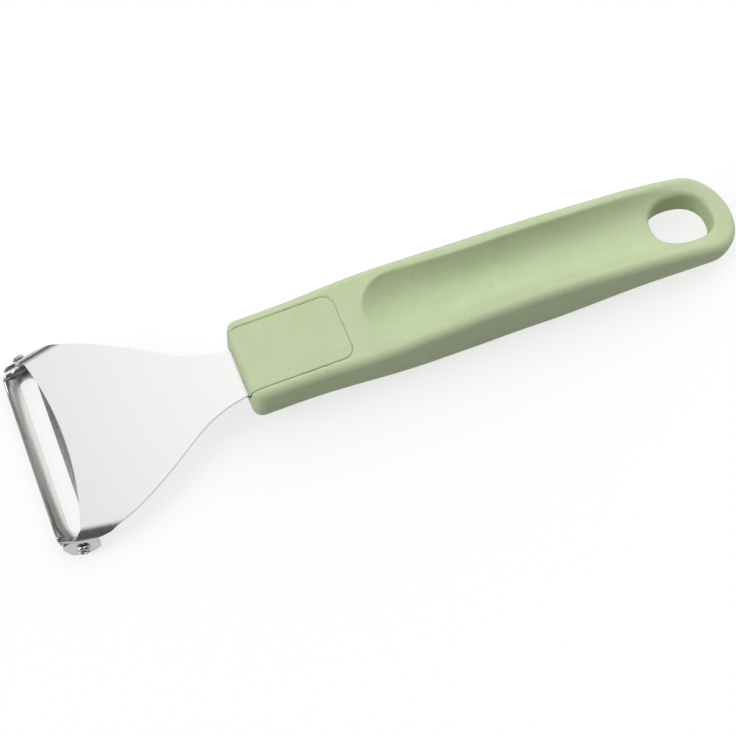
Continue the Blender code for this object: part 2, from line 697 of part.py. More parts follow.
def make_blade(collection, cutters, material):
    """The swivelling blade: one stamped trough with a slot, two lugs and a crowned stud on each lug."""
    quarter = blade_half_outline()
    half = quarter + [(-x, y) for x, y in reversed(quarter[:-1])]
    outline = half + [(-x, -y) for x, y in half[1:-1]]
    slot_half, slot_end = SLOT_WIDTH / 2, SLOT_LENGTH / 2 - SLOT_WIDTH / 2
    slot = arc_points((0.0, slot_end), slot_half, 0.0, 180.0, 9)
    slot += arc_points((0.0, -slot_end), slot_half, 180.0, 360.0, 9)
    mesh = flat_sheet("swivel_blade", outline, [], BLADE_SHEET, collection)

    wide = max(x for x, _ in outline)
    cuts = [((wide * s, 0, 0), (1, 0, 0)) for s in (-0.82, -0.62, -0.42, -0.2, 0.0, 0.2, 0.42, 0.62, 0.82)]
    straight, foot, _top = lug_lengths()
    splay = math.radians(EAR_SPLAY)
    lines = list(np.linspace(straight - 4.0, straight, 4)) + list(np.linspace(straight, foot, 6)[1:])
    cuts += [((0, side * y, 0), (-math.sin(splay), side * math.cos(splay), 0)) for y in lines for side in (1, -1)]
    cuts += [((0, straight * s, 0), (0, 1, 0)) for s in (-0.6, -0.3, 0.0, 0.3, 0.6)]
    blade = bent_from_flat("swivel_blade", mesh, cuts, bend_blade, collection, material)

    low = [(x, y, -6.0) for x, y in slot]
    high = [(x, y, 6.0) for x, y in slot]
    slot_tool = loft("slot_cutter", low, high, cutters)
    slot_tool.parent = blade
    cut(blade, slot_tool)
    for side in (1, -1):
        add_stud(blade, side, cutters)
    return blade


def add_stud(blade, side, cutters):
    """Join a hollow stud with a nicked, flared crown to a lug, square to the ear that it passes through."""
    inside, below = lug_plane()
    tilt = math.radians(90.0 - EAR_BEND)
    splay = math.radians(EAR_SPLAY)
    through = LUG_CLEARANCE + SHEET + BLADE_SHEET / 2
    neck, crown = STUD_DIAMETER / 2, CROWN_DIAMETER / 2
    flare = through + GAP
    tip = flare + CROWN_LENGTH
    bore = CROWN_BORE / 2
    profile = [(bore, tip), (crown - 0.25, tip), (crown, tip - 0.3), (crown - 0.1, flare), (neck, flare),
               (neck, -0.1), (0.0, -0.1), (0.0, flare * 0.6), (bore, flare * 0.6)]
    sides = 24
    rings = [[(r * math.cos(2 * math.pi * i / sides), r * math.sin(2 * math.pi * i / sides), h)
              for i in range(sides)] for r, h in profile + profile[:1]]
    points, faces = skin_rings(rings)
    stud = new_mesh_object(f"stud_tool_{'left' if side > 0 else 'right'}", points, faces, cutters)
    nick = []
    for turn in (0.0, math.pi / 2):
        c, s = math.cos(turn), math.sin(turn)
        long, short = CROWN_DIAMETER, CROWN_NICK / 2
        plan = [(long, short), (-long, short), (-long, -short), (long, -short)]
        plan = [(x * c - y * s, x * s + y * c) for x, y in plan]
        nick.append(loft(f"nick_tool_{len(nick)}_{'left' if side > 0 else 'right'}",
                         [(x, y, flare + 0.15) for x, y in plan], [(x, y, tip + 1) for x, y in plan], cutters))
    axis = Vector((-math.sin(splay) * math.cos(tilt), side * math.cos(splay) * math.cos(tilt), math.sin(tilt)))
    turn_to_axis = axis.to_track_quat("Z", "X").to_matrix().to_4x4()
    place = Matrix.Translation(Vector((0, side * EAR_SPAN / 2, 0)) * MM - axis * (SHEET / 2 + through - SHEET) * MM)
    for tool in [stud] + nick:
        tool.data.transform(place @ turn_to_axis)
        tool.parent = blade
    for tool in nick:
        cut(stud, tool)
    cut(blade, stud, "UNION")


def make_handle(collection, cutters, material):
    """The moulded handle with its scoop, hanging hole, pocket for the tang and sockets for the pegs."""
    handle = handle_body("handle", collection, material)
    cut(handle, scoop_cutter(cutters))
    cut(handle, hole_cutter(cutters))
    lift = -SHEET / 2 - GAP
    cut(handle, pocket_form("pocket_cutter", cutters, 0.0, -3.0, lift, CUTTER_TOP))
    for number, place in enumerate(PEG_PLACES):
        low = tang_height(place) + lift - PEG_DEPTH - GAP
        high = tang_height(place) + 1.0
        cut(handle, cylinder(f"socket_cutter_{number}", PEG_DIAMETER / 2 + GAP, low, high, (place, 0), cutters))
    return handle


def make_cover(collection, cutters, material):
    """The cover: the handle's own skin over the pocket, hollow below, with two pegs through the tang."""
    cover = handle_body("tang_cover", collection, material)
    lift = SHEET / 2 + GAP
    cut(cover, pocket_form("cover_form", cutters, GAP, -3.0, lift, CUTTER_TOP), "INTERSECT")
    low = [(x, y, tang_height(x) - 1.0) for x, y in cavity_outline(1.0)]
    roof = float(handle_top(COVER_LENGTH / 2)) - COVER_WALL - 0.4
    high = [(x, y, roof) for x, y in cavity_outline(0.35)]
    cut(cover, loft("cover_cavity", low, high, cutters))
    for number, place in enumerate(PEG_PLACES):
        boss_foot = tang_height(place) + lift
        boss = cylinder(f"boss_tool_{number}", PEG_DIAMETER / 2 + 0.9, boss_foot, roof + 0.5, (place, 0), cutters)
        cut(cover, boss, "UNION")
        low_end = tang_height(place) - SHEET / 2 - PEG_DEPTH
        peg = cylinder(f"peg_tool_{number}", PEG_DIAMETER / 2, low_end, boss_foot + 1.0, (place, 0), cutters)
        cut(cover, peg, "UNION")
    return cover


def cavity_outline(draft):
    """Outline of the hollow under the cover, one wall inside its edge and closed at the front."""
    start = COVER_WALL + 0.6
    half = COVER_WIDTH / 2 - draft * COVER_DRAFT_WIDTH / 2 - GAP - COVER_WALL
    end = COVER_LENGTH - draft * COVER_DRAFT_LENGTH - GAP - COVER_WALL
    return [(start, half), (end, half), (end, -half), (start, -half)]


def plain_material(name, colour, roughness, metallic):
    """A Principled material with one colour."""
    material = bpy.data.materials.new(name)
    material.use_nodes = True
    shader = material.node_tree.nodes["Principled BSDF"]
    shader.inputs["Base Color"].default_value = (*colour, 1.0)
    shader.inputs["Roughness"].default_value = roughness
    shader.inputs["Metallic"].default_value = metallic
    material.diffuse_color = (*colour, 1.0)
    return material


def main():
    """Clear the scene, make the four pieces and set them in their places."""
    for old in list(bpy.data.objects):
        bpy.data.objects.remove(old)
    scene = bpy.context.scene
    peeler = bpy.data.collections.new("vegetable_peeler")
    cutters = bpy.data.collections.new("cutters")
    scene.collection.children.link(peeler)
    scene.collection.children.link(cutters)

    sage = (0.55, 0.64, 0.40)
    handle = make_handle(peeler, cutters, plain_material("handle_plastic", sage, 0.5, 0.0))
    cover = make_cover(peeler, cutters, plain_material("cover_plastic", sage, 0.5, 0.0))
    head = make_head(peeler, plain_material("head_steel", (0.75, 0.75, 0.74), 0.25, 1.0))
    blade = make_blade(peeler, cutters, plain_material("blade_steel", (0.7, 0.7, 0.69), 0.2, 1.0))

    tilt, pitch = math.radians(TANG_TILT), math.radians(TANG_TILT + HEAD_PITCH)
    pivot = bend_sheet((*ear_blank_point(0.0, PIVOT_DROP / math.sin(math.radians(EAR_BEND))), 0.0))
    reach = PIVOT_PLACE + BLADE_WIDTH / 2
    front = Vector(((reach - HANDLE_LENGTH) / 2 * MM, 0, 0))
    for piece in [handle, cover] + [o for o in cutters.objects if o.parent is None]:
        piece.location += front
    head.rotation_euler = (0, -tilt, 0)
    head.location = front + Vector((0, 0, neck_height() * MM))
    blade.rotation_euler = (0, -pitch, 0)
    blade.location = head.location + Matrix.Rotation(-tilt, 3, "Y") @ Vector((pivot[0], 0, pivot[2])) * MM

    for piece in peeler.objects:
        piece.data.shade_smooth()
        piece.data.set_sharp_from_angle(angle=math.radians(32))


main()
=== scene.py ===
# %% [markdown]
# A horizontal vegetable peeler, made piece by piece over its packed CAD model.
#
# The real tool has four pieces: a moulded handle, a cover that is pressed into the handle over the tang,
# one stamped sheet that is tang, neck, head and ears at once, and the slotted blade that swivels between
# the ears. The CAD model already has their places and sizes. This lesson gives each of them a finer
# surface and a finish of its own, sets soft studio light round them and looks from the photograph's side.

import bmesh
import bpy
import numpy as np
from mathutils import Euler, Matrix


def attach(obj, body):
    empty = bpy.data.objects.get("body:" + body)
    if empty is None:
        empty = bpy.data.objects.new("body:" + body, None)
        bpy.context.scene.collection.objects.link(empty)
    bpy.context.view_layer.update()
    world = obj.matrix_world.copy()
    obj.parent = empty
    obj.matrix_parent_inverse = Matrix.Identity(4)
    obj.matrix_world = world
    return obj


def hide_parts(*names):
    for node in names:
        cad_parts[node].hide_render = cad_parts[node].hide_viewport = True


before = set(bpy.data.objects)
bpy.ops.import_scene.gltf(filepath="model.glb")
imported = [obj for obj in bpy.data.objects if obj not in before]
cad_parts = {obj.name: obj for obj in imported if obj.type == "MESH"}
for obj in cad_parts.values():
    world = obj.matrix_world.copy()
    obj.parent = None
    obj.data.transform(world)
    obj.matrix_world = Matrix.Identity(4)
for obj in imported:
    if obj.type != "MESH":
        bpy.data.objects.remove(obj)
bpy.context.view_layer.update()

# %% [markdown]
# Moulded and stamped parts have smooth skins. They could be sculpted, or drawn as a coarse cage and subdivided,
# but such a skin only comes near a given size. Here every piece is a grid of points that numpy works out as
# whole arrays from the real sizes. Two helpers turn grids into meshes. The first joins neighbouring grids into
# one closed skin: points that meet are welded, and the faces are then turned outwards. The second mirrors a
# grid, because the peeler is the same on both sides.

# %% From grids of points to a mesh
MM = 0.001
WELD = 0.001
SLIVER = 0.2 * WELD
MIRROR = np.array([1.0, -1.0, 1.0])
SHEET_CREASE, MOULDED_CREASE, STUD_CREASE = 32.0, 35.0, 50.0


def grid_faces(rows, columns, first):
    """Quads of a grid: each joins a point, its right neighbour and the two below them."""
    index = first + np.arange(rows * columns).reshape(rows, columns)
    return np.stack([index[:-1, :-1], index[:-1, 1:], index[1:, 1:], index[1:, :-1]], -1).reshape(-1, 4)


def add_object(name, data):
    """Put a mesh or a camera into the scene as an object at the origin."""
    made = bpy.data.objects.new(name, data)
    bpy.context.scene.collection.objects.link(made)
    return made


def skin(name, grids, material, crease=SHEET_CREASE):
    """One closed piece from grids of points in millimetres that meet along shared lines."""
    points, faces, first = [], [], 0
    for grid in grids:
        rows, columns = grid.shape[:2]
        points.append(grid.reshape(-1, 3))
        faces.append(grid_faces(rows, columns, first))
        first += rows * columns
    mesh = bpy.data.meshes.new(name)
    mesh.from_pydata((np.concatenate(points) * MM).tolist(), [], np.concatenate(faces).tolist())
    work = bmesh.new()
    work.from_mesh(mesh)
    bmesh.ops.remove_doubles(work, verts=work.verts, dist=WELD * MM)
    bmesh.ops.dissolve_degenerate(work, dist=SLIVER * MM, edges=work.edges)
    bmesh.ops.recalc_face_normals(work, faces=work.faces)
    open_edges = sum(1 for edge in work.edges if not edge.is_manifold)
    work.to_mesh(mesh)
    work.free()
    mesh.materials.append(material)
    piece = smooth(add_object(name, mesh), crease)
    print(name, len(mesh.polygons), "faces, open edges:", open_edges)
    return piece


def smooth(piece, crease):
    """Smooth shading that stops at edges that turn by more than a crease's angle in degrees."""
    piece.data.shade_smooth()
    piece.data.set_sharp_from_angle(angle=np.radians(crease))
    return piece


def both_sides(grids):
    """The grids and their mirror images across the plane of symmetry."""
    return grids + [grid * MIRROR for grid in grids]


print("grids are in millimetres, points closer than", WELD, "mm are welded")

# %% [markdown]
# A cover has to lie in a pocket, and holes have to go through. On the real parts the mould or the press makes
# them. Rows of faces could be laid round each opening, but the pocket crosses the rounded edges aslant. So a
# finished skin is cut by a second closed skin with an exact Boolean, which is applied at once so that no cutter
# stays in the scene.

# %% Cut one closed skin with another


def finish_mesh(piece):
    """Turn a piece and its live modifiers into one plain mesh."""
    bpy.context.view_layer.update()
    depsgraph = bpy.context.evaluated_depsgraph_get()
    finished = bpy.data.meshes.new_from_object(piece.evaluated_get(depsgraph))
    piece.modifiers.clear()
    piece.data = finished
    return piece


def cut(piece, tool, operation="DIFFERENCE"):
    """Cut a piece with a tool, join them or keep what they share, and take the tool away."""
    knife = piece.modifiers.new("cut", "BOOLEAN")
    knife.operation = operation
    knife.solver = "EXACT"
    knife.object = tool
    finish_mesh(piece)
    bpy.data.objects.remove(tool)
    return piece


print("cut:", cut.__doc__)

# %% [markdown]
# A finish is a sum of patterns, and reads badly as a list of nodes and links. One small class wraps a socket,
# and its operators add Math nodes, so a line such as `1 - mask` builds the network that it says. A second class
# holds one material or world, and its one method adds any other node from its type, its settings and its inputs.

# %% Materials as sums


class Wire:
    """A number or colour that leaves a node; sums and products of wires become Math nodes."""

    def __init__(self, sheet, socket):
        self.sheet, self.socket = sheet, socket

    def maths(self, operation, *others):
        """Add a Math node that takes this wire first and then the others."""
        values = dict(enumerate((self, *others)))
        return self.sheet.node("ShaderNodeMath", {"operation": operation}, values)

    def __add__(self, other):
        return self.maths("ADD", other)

    def __sub__(self, other):
        return self.maths("SUBTRACT", other)

    def __mul__(self, other):
        return self.maths("MULTIPLY", other)

    def __rsub__(self, other):
        return self.sheet.node("ShaderNodeMath", {"operation": "SUBTRACT"}, {0: other, 1: self})

    def held(self):
        """The wire kept between 0 and 1."""
        return self.maths("MAXIMUM", 0.0).maths("MINIMUM", 1.0)

    __radd__ = __add__
    __rmul__ = __mul__


class Sheet:
    """The nodes of one material or world."""

    def __init__(self, tree):
        self.tree = tree
        self.tree.nodes.clear()

    def node(self, kind, settings=None, inputs=None, out=0):
        """Add a node of a type; settings first, then the values or wires of its inputs."""
        made = self.tree.nodes.new(kind)
        for key, value in (settings or {}).items():
            setattr(made, key, value)
        for key, value in (inputs or {}).items():
            if isinstance(value, Wire):
                self.tree.links.new(value.socket, made.inputs[key])
            else:
                made.inputs[key].default_value = value
        return Wire(self, made.outputs[out]) if len(made.outputs) else made

    def mix(self, share, first, second):
        """Blend two colours."""
        return self.node("ShaderNodeMix", {"data_type": "RGBA"}, {0: share, 6: first, 7: second}, out=2)


def new_material(name):
    """An empty material and its sheet of nodes."""
    material = bpy.data.materials.new(name)
    material.use_nodes = True
    return material, Sheet(material.node_tree)


print("wire:", Wire.__doc__)

# %% [markdown]
# The handle and its cover are one sage green plastic. It is matt, because the mould was roughened with fine
# sparks, and it carries a little plant fibre: faint clouds of a paler and a browner green, and here and there a
# dark speck about half a millimetre across. A painted image could show this, but it would break off where two
# pieces meet, so each point's own place decides its colour. The clouds are two sizes of noise, the specks are
# cells of a Voronoi pattern of which about one in four is kept, and the spark finish is a bump of a hundredth
# of a millimetre. The scale of a pattern is how many times it repeats in a metre.

# %% Sage plastic with specks
SAGE = (0.51, 0.60, 0.365, 1.0)
SAGE_PALE = (0.54, 0.63, 0.40, 1.0)
SAGE_BROWN = (0.475, 0.55, 0.32, 1.0)
SPECK = (0.24, 0.27, 0.12, 1.0)
CLOUD_SCALE, MOTTLE_SCALE, SPECK_SCALE, SPARK_SCALE = 130.0, 620.0, 640.0, 3600.0
SPECK_REACH, SPECKS_ABOVE, SPECK_DEPTH = 0.17, 0.72, 0.5
SPARK_HEIGHT, PLASTIC_ROUGHNESS, PLASTIC_GLOSS = 0.00003, 0.6, 0.25


def sage_plastic(name):
    """Matt moulded plastic with clouds, specks and a spark finish."""
    material, sheet = new_material(name)
    place = sheet.node("ShaderNodeTexCoord", out="Object")
    clouds = sheet.node("ShaderNodeTexNoise", {}, {"Vector": place, "Scale": CLOUD_SCALE, "Detail": 3.0})
    mottle = sheet.node("ShaderNodeTexNoise", {}, {"Vector": place, "Scale": MOTTLE_SCALE, "Detail": 2.0})
    tone = sheet.mix(((clouds - 0.35) * 2.5).held(), SAGE, SAGE_PALE)
    tone = sheet.mix(((mottle - 0.5) * 3.0).held() * 0.5, tone, SAGE_BROWN)
    cells = {"Vector": place, "Scale": SPECK_SCALE}
    apart = sheet.node("ShaderNodeTexVoronoi", {}, cells)
    chance = sheet.node("ShaderNodeTexVoronoi", {}, cells, out=1)
    chance = sheet.node("ShaderNodeSeparateColor", {}, {0: chance})
    speck = ((SPECK_REACH - apart) * 10.0).held() * ((chance - SPECKS_ABOVE) * 6.0).held()
    tone = sheet.mix(speck * SPECK_DEPTH, tone, SPECK)
    sparks = sheet.node("ShaderNodeTexNoise", {}, {"Vector": place, "Scale": SPARK_SCALE, "Detail": 2.0})
    bump = sheet.node("ShaderNodeBump", {}, {"Strength": 0.35, "Distance": SPARK_HEIGHT, "Height": sparks})
    shader = sheet.node("ShaderNodeBsdfPrincipled", {}, {
        "Base Color": tone, "Roughness": PLASTIC_ROUGHNESS + 0.12 * (sparks - 0.5),
        "Specular IOR Level": PLASTIC_GLOSS, "Normal": bump})
    sheet.node("ShaderNodeOutputMaterial", {}, {"Surface": shader})
    return material


handle_plastic = sage_plastic("sage_plastic_handle")
cover_plastic = sage_plastic("sage_plastic_cover")
print("plastics", handle_plastic.name, cover_plastic.name)

# %% [markdown]
# The sheet metal is stainless steel. The head is polished to a soft shine, so it mirrors the white light above
# and turns dark where it bends away from it. Its finish has a faint tumbled grain rather than lines. The blade
# is ground and brushed along its length. Fine lines could be cut into the mesh, but they are far thinner than a
# face, so a noise that is drawn out along the blade moves the roughness and a bump instead. One function makes
# both steels: the blade's has a longer grain and a rougher surface.

# %% Stainless steel
GRAIN_SCALE, PATCH_SCALE, GRAIN_HEIGHT = 5200.0, 160.0, 0.00002
PATCH_SHADE, PATCH_ROUGHNESS, GRAIN_ROUGHNESS = 0.93, 0.10, 0.16


def stainless_steel(name, shade, roughness, stretch, grain_depth):
    """Steel whose grain is a noise that is drawn out along the blade's length by the stretch."""
    material, sheet = new_material(name)
    place = sheet.node("ShaderNodeTexCoord", out="Object")
    drawn = sheet.node("ShaderNodeMapping", {}, {"Vector": place, "Scale": (1.0, 1.0 / stretch, 1.0)})
    grain = sheet.node("ShaderNodeTexNoise", {}, {"Vector": drawn, "Scale": GRAIN_SCALE, "Detail": 3.0})
    patches = sheet.node("ShaderNodeTexNoise", {}, {"Vector": place, "Scale": PATCH_SCALE, "Detail": 4.0})
    relief = {"Strength": grain_depth, "Distance": GRAIN_HEIGHT, "Height": grain}
    bump = sheet.node("ShaderNodeBump", {}, relief)
    pale, dark = (*shade, 1.0), (*[PATCH_SHADE * s for s in shade], 1.0)
    rough = roughness + PATCH_ROUGHNESS * (patches - 0.5) + GRAIN_ROUGHNESS * (grain - 0.5)
    shader = sheet.node("ShaderNodeBsdfPrincipled", {}, {
        "Base Color": sheet.mix(patches, dark, pale), "Metallic": 1.0, "Roughness": rough, "Normal": bump})
    sheet.node("ShaderNodeOutputMaterial", {}, {"Surface": shader})
    return material


head_steel = stainless_steel(
    "polished_steel_head", (0.57, 0.57, 0.56), roughness=0.20, stretch=1.0, grain_depth=0.25)
blade_steel = stainless_steel(
    "brushed_steel_blade", (0.48, 0.48, 0.465), roughness=0.24, stretch=12.0, grain_depth=0.35)
print("steels", head_steel.name, blade_steel.name)

# %% [markdown]
# The handle is a long moulding that swells for the palm. Its sizes, in millimetres, are the real ones that the
# CAD model was drawn from, so each finer surface lands on its own solid. Places along the handle are measured
# from its front face, and heights from the table. Such a form could be lofted through many sections, but it has
# few driving sizes: its width, its top line and its underside, each a smooth curve through a handful of places.

# %% The handle's sizes and its three long curves
HANDLE_LENGTH = 130.0
WIDTHS = {0.0: 21.0, 12.55: 21.2, 33.0: 22.8, 66.0: 21.6, 112.0: 22.5}
TOPS = {0.0: 17.4, 64.0: 18.9, 100.0: 15.7, 114.0: 13.1, 130.0: 8.4}
BOTTOMS = {0.0: 6.2, 24.0: 5.1, 45.0: 1.6, 62.0: 0.0, 74.0: 0.0, 106.0: 3.5, 130.0: 2.6}
UNDER_EDGES = {0.0: 1.2, 33.0: 3.8, 66.0: 5.2, 106.0: 3.2}
FRONT_CORNER, TAIL_ROUND, TOP_EDGE = 2.4, 10.5, 2.1
FRONT_X = -39.4
TO_FRONT = np.array([FRONT_X, 0.0, 0.0])


def through(place, sizes):
    """A curve through a few sizes that never overshoots them: cubic steps with limited slopes."""
    places, values = np.array(list(sizes.keys())), np.array(list(sizes.values()))
    step, rise = np.diff(places), np.diff(values) / np.diff(places)
    slope = np.concatenate([[rise[0]], np.zeros(len(places) - 2), [rise[-1]]])
    same_way = rise[:-1] * rise[1:] > 0
    mean = 2 * rise[:-1] * rise[1:] / np.where(same_way, rise[:-1] + rise[1:], 1)
    slope[1:-1] = np.where(same_way, mean, 0)
    place = np.clip(place, places[0], places[-1])
    span = np.clip(np.searchsorted(places, place, side="right") - 1, 0, len(places) - 2)
    t = (place - places[span]) / step[span]
    return ((2 * t ** 3 - 3 * t ** 2 + 1) * values[span] + (t ** 3 - 2 * t ** 2 + t) * step[span] * slope[span]
            + (3 * t ** 2 - 2 * t ** 3) * values[span + 1] + (t ** 3 - t ** 2) * step[span] * slope[span + 1])


def half_width(place):
    """Half of the width at places along the handle."""
    return through(place, WIDTHS) / 2


def top_line(place):
    """Height of the top along the middle."""
    return through(place, TOPS)


def bottom_line(place):
    """Height of the underside along the middle."""
    return through(place, BOTTOMS)


print("height at the crest", round(float(top_line(64.0)), 2), "mm")

# %% [markdown]
# Tang, neck, head and ears are one stamped sheet, 0.9 mm thick. It could be modelled as it ends up, but then
# the metal in its bends would stretch as no sheet does. As in the press, the shape is first drawn flat and then
# bent: every point of the flat blank is carried to its bent place. The ears turn down by 70 degrees about a
# slanting line, with a bend wide enough to catch the light as a soft dark band, and the whole head dips a little
# in front of the neck. Because the bend keeps lengths, the blank gets as much metal as the bend uses up.

# %% Bending the sheet
SHEET, TANG_TILT, HEAD_PITCH, NECK_BEND = 0.9, np.radians(1.8), np.radians(3.4), 3.0
PIVOT_PLACE, EAR_SPAN, PIVOT_DROP, EAR_TIP_DROP = 46.3, 47.8, 3.6, 2.2
EAR_BEND, EAR_SPLAY = np.radians(70.0), np.radians(11.5)
EAR_BEND_LENGTH, EAR_RADIUS = 7.0, 3.0
EAR_FRONT_LOBE, EAR_REAR_LOBE = 4.4, 3.9
EAR_ALONG = np.array([np.cos(EAR_SPLAY), np.sin(EAR_SPLAY)])
EAR_OUT = np.array([-np.sin(EAR_SPLAY), np.cos(EAR_SPLAY)])
PIVOT_DOWN = PIVOT_DROP / np.sin(EAR_BEND)
EAR_ORIGIN = np.array([-PIVOT_PLACE, EAR_SPAN / 2]) - EAR_OUT * PIVOT_DOWN * np.cos(EAR_BEND)


def ear_blank(along, down):
    """Place on the flat blank of a point given along the bend and down the ear's face."""
    allowance = EAR_RADIUS * (EAR_BEND - 2 * np.tan(EAR_BEND / 2))
    return EAR_ORIGIN + np.multiply.outer(along, EAR_ALONG) + np.multiply.outer(down + allowance, EAR_OUT)


def bend_sheet(x, y, height):
    """Bend flat points: an arc past the bend line, straight on after it, then the neck's dip."""
    offset = np.stack([x, np.abs(y)], -1) - EAR_ORIGIN
    along, reach = offset @ EAR_ALONG, offset @ EAR_OUT
    length = reach + EAR_RADIUS * np.tan(EAR_BEND / 2)
    turn = np.clip(length / EAR_RADIUS, 0, EAR_BEND)
    rest = np.maximum(length - EAR_RADIUS * EAR_BEND, 0)
    outward = (reach - length) + EAR_RADIUS * np.sin(turn) + rest * np.cos(turn) + height * np.sin(turn)
    down = -EAR_RADIUS * (1 - np.cos(turn)) - rest * np.sin(turn) + height * np.cos(turn)
    place = EAR_ORIGIN + along[..., None] * EAR_ALONG + outward[..., None] * EAR_OUT
    bent = length > 0
    x = np.where(bent, place[..., 0], x)
    y = np.where(bent, np.where(y < 0, -1, 1) * place[..., 1], y)
    z = np.where(bent, down, height)
    run = np.clip(-x, 0, NECK_BEND)
    lean = HEAD_PITCH * run / NECK_BEND
    dip = 0.5 * HEAD_PITCH * run ** 2 / NECK_BEND + np.tan(HEAD_PITCH) * np.maximum(-x - NECK_BEND, 0)
    return np.stack([x - z * np.sin(lean), y, z * np.cos(lean) - dip], -1)


def neck_height():
    """Height of the sheet's middle at the handle's front, with the tips of the ears on the table."""
    tips = ear_blank(np.linspace(-EAR_FRONT_LOBE, EAR_REAR_LOBE, 31), PIVOT_DOWN + EAR_TIP_DROP)
    bent = bend_sheet(tips[:, 0], tips[:, 1], -SHEET / 2)
    return -float(np.min(bent[:, 2] * np.cos(TANG_TILT) + bent[:, 0] * np.sin(TANG_TILT)))


NECK_HEIGHT = neck_height()
print("the sheet leaves the handle", round(NECK_HEIGHT, 2), "mm above the table")


def set_down(points, pitch, origin):
    """Turn a piece's own frame down at its front by a pitch and move it to its origin, in world millimetres."""
    c, s = np.cos(pitch), np.sin(pitch)
    x, y, z = points[..., 0], points[..., 1], points[..., 2]
    return np.stack([x * c - z * s + origin[0], y + origin[1], x * s + z * c + origin[2]], -1)


HEAD_ORIGIN = np.array([FRONT_X, 0.0, NECK_HEIGHT])

# %% [markdown]
# Seen from above the handle is a long outline: straight across the front, round a small corner, along the side
# and round the tail. A mould is cut by a tool that follows such an outline, and the skin is made in the same way:
# all its rings are this outline moved inwards. Even stations would waste points on plain stretches, so along the
# side they crowd where something small happens, at the rear edge of the cover and at the lip of the scoop.

# %% Rings of the handle's plan
FACE_COUNT, CORNER_COUNT, TAIL_COUNT = 40, 5, 30
CROSS_PLACE, LEAST_CORNER, FACE_CROWDING = 100.0, 0.02, 1.5
SIDE_STRETCHES = (
    (2.45, 21.8, 22), (21.8, 25.7, 40), (25.7, 29.6, 9), (29.6, 42.0, 42), (42.0, CROSS_PLACE, 66),
    (CROSS_PLACE, HANDLE_LENGTH - TAIL_ROUND, 30))
face_shares = 1 - (1 - np.linspace(0, 1, FACE_COUNT + 1)) ** FACE_CROWDING
corner_turns = np.linspace(0, np.pi / 2, CORNER_COUNT + 1)[1:]
side_places = np.concatenate([np.linspace(*stretch)[:-1] for stretch in SIDE_STRETCHES[:-1]]
                             + [np.linspace(*SIDE_STRETCHES[-1])])
tail_turns = np.linspace(0, np.pi / 2, TAIL_COUNT + 1)[1:]
FACE = slice(0, FACE_COUNT + 1)
CORNER = slice(FACE.stop, FACE.stop + CORNER_COUNT)
SIDE = slice(CORNER.stop, CORNER.stop + len(side_places))
TAIL = slice(SIDE.stop, SIDE.stop + TAIL_COUNT)
STATIONS = TAIL.stop
CROSS = SIDE.start + int(np.argmin(np.abs(side_places - CROSS_PLACE)))


def plan_ring(inset):
    """x and y of the outline at every station, moved inwards by an inset there."""
    inset = np.broadcast_to(np.asarray(inset, float), (STATIONS,))
    x, y = np.empty(STATIONS), np.empty(STATIONS)
    corner = np.maximum(FRONT_CORNER - inset, LEAST_CORNER)
    front_half = half_width(0.0) - inset
    x[FACE], y[FACE] = inset[FACE], face_shares * (front_half - corner)[FACE]
    x[CORNER] = inset[CORNER] + corner[CORNER] * (1 - np.cos(corner_turns))
    y[CORNER] = front_half[CORNER] - corner[CORNER] * (1 - np.sin(corner_turns))
    x[SIDE], y[SIDE] = side_places, half_width(side_places) - inset[SIDE]
    tail_start = HANDLE_LENGTH - TAIL_ROUND
    x[TAIL] = tail_start + (TAIL_ROUND - inset[TAIL]) * np.sin(tail_turns)
    y[TAIL] = (half_width(tail_start) - inset[TAIL]) * np.cos(tail_turns)
    y[-1] = 0.0
    return x, y


def ring_outward():
    """Direction that each station faces, in plan."""
    across, along = np.zeros(STATIONS), np.ones(STATIONS)
    along[FACE], across[FACE] = -1.0, 0.0
    along[CORNER], across[CORNER] = -np.cos(corner_turns), np.sin(corner_turns)
    along[SIDE], across[SIDE] = 0.0, 1.0
    along[TAIL], across[TAIL] = np.sin(tail_turns), np.cos(tail_turns)
    return along, across


print("stations round half the handle:", STATIONS)

# %% [markdown]
# The thumb scoop is a long dish, round at both ends. It could be cut out with a Boolean, which leaves a razor
# edge. Instead its surface rises from the floor with a power of the distance to its rim, and beyond the rim it
# would go on rising. The handle's top is the lower of the two surfaces. On the real handle the edge is crisp
# only round the front end of the scoop and a soft ridge everywhere else, so the two surfaces are blended, over a
# width that grows along x.

# %% The scoop
SCOOP_START, SCOOP_END, SCOOP_FRONT_ROUND, SCOOP_REAR_ROUND = 30.4, 127.0, 9.0, 14.0
SCOOP_WIDTHS = {39.4: 17.3, 60.0: 15.4, 105.0: 17.1}
SCOOP_FLOORS = {30.4: 14.2, 66.0: 13.2, 115.4: 10.6, 130.0: 10.0}
SCOOP_ROUNDNESS, SCOOP_LEAST_DEPTH = 1.25, 0.6
CRISP_EDGE, SOFT_EDGE, RIDGE_START, RIDGE_GROWTH = 0.3, 0.6, 33.0, 12.0


def scoop_surface(x, y):
    """Height of the dish: top minus depth times (1 - spread ** roundness), spread being 1 on the rim."""
    front = (SCOOP_START + SCOOP_FRONT_ROUND - x) / SCOOP_FRONT_ROUND
    rear = (x - SCOOP_END + SCOOP_REAR_ROUND) / SCOOP_REAR_ROUND
    into_end = np.maximum(np.maximum(front, rear), 0.0)
    spread = into_end ** 2 + (y / (through(x, SCOOP_WIDTHS) / 2)) ** 2
    top = top_line(x)
    depth = np.maximum(top - through(x, SCOOP_FLOORS), SCOOP_LEAST_DEPTH)
    return top - depth * (1 - spread ** SCOOP_ROUNDNESS)


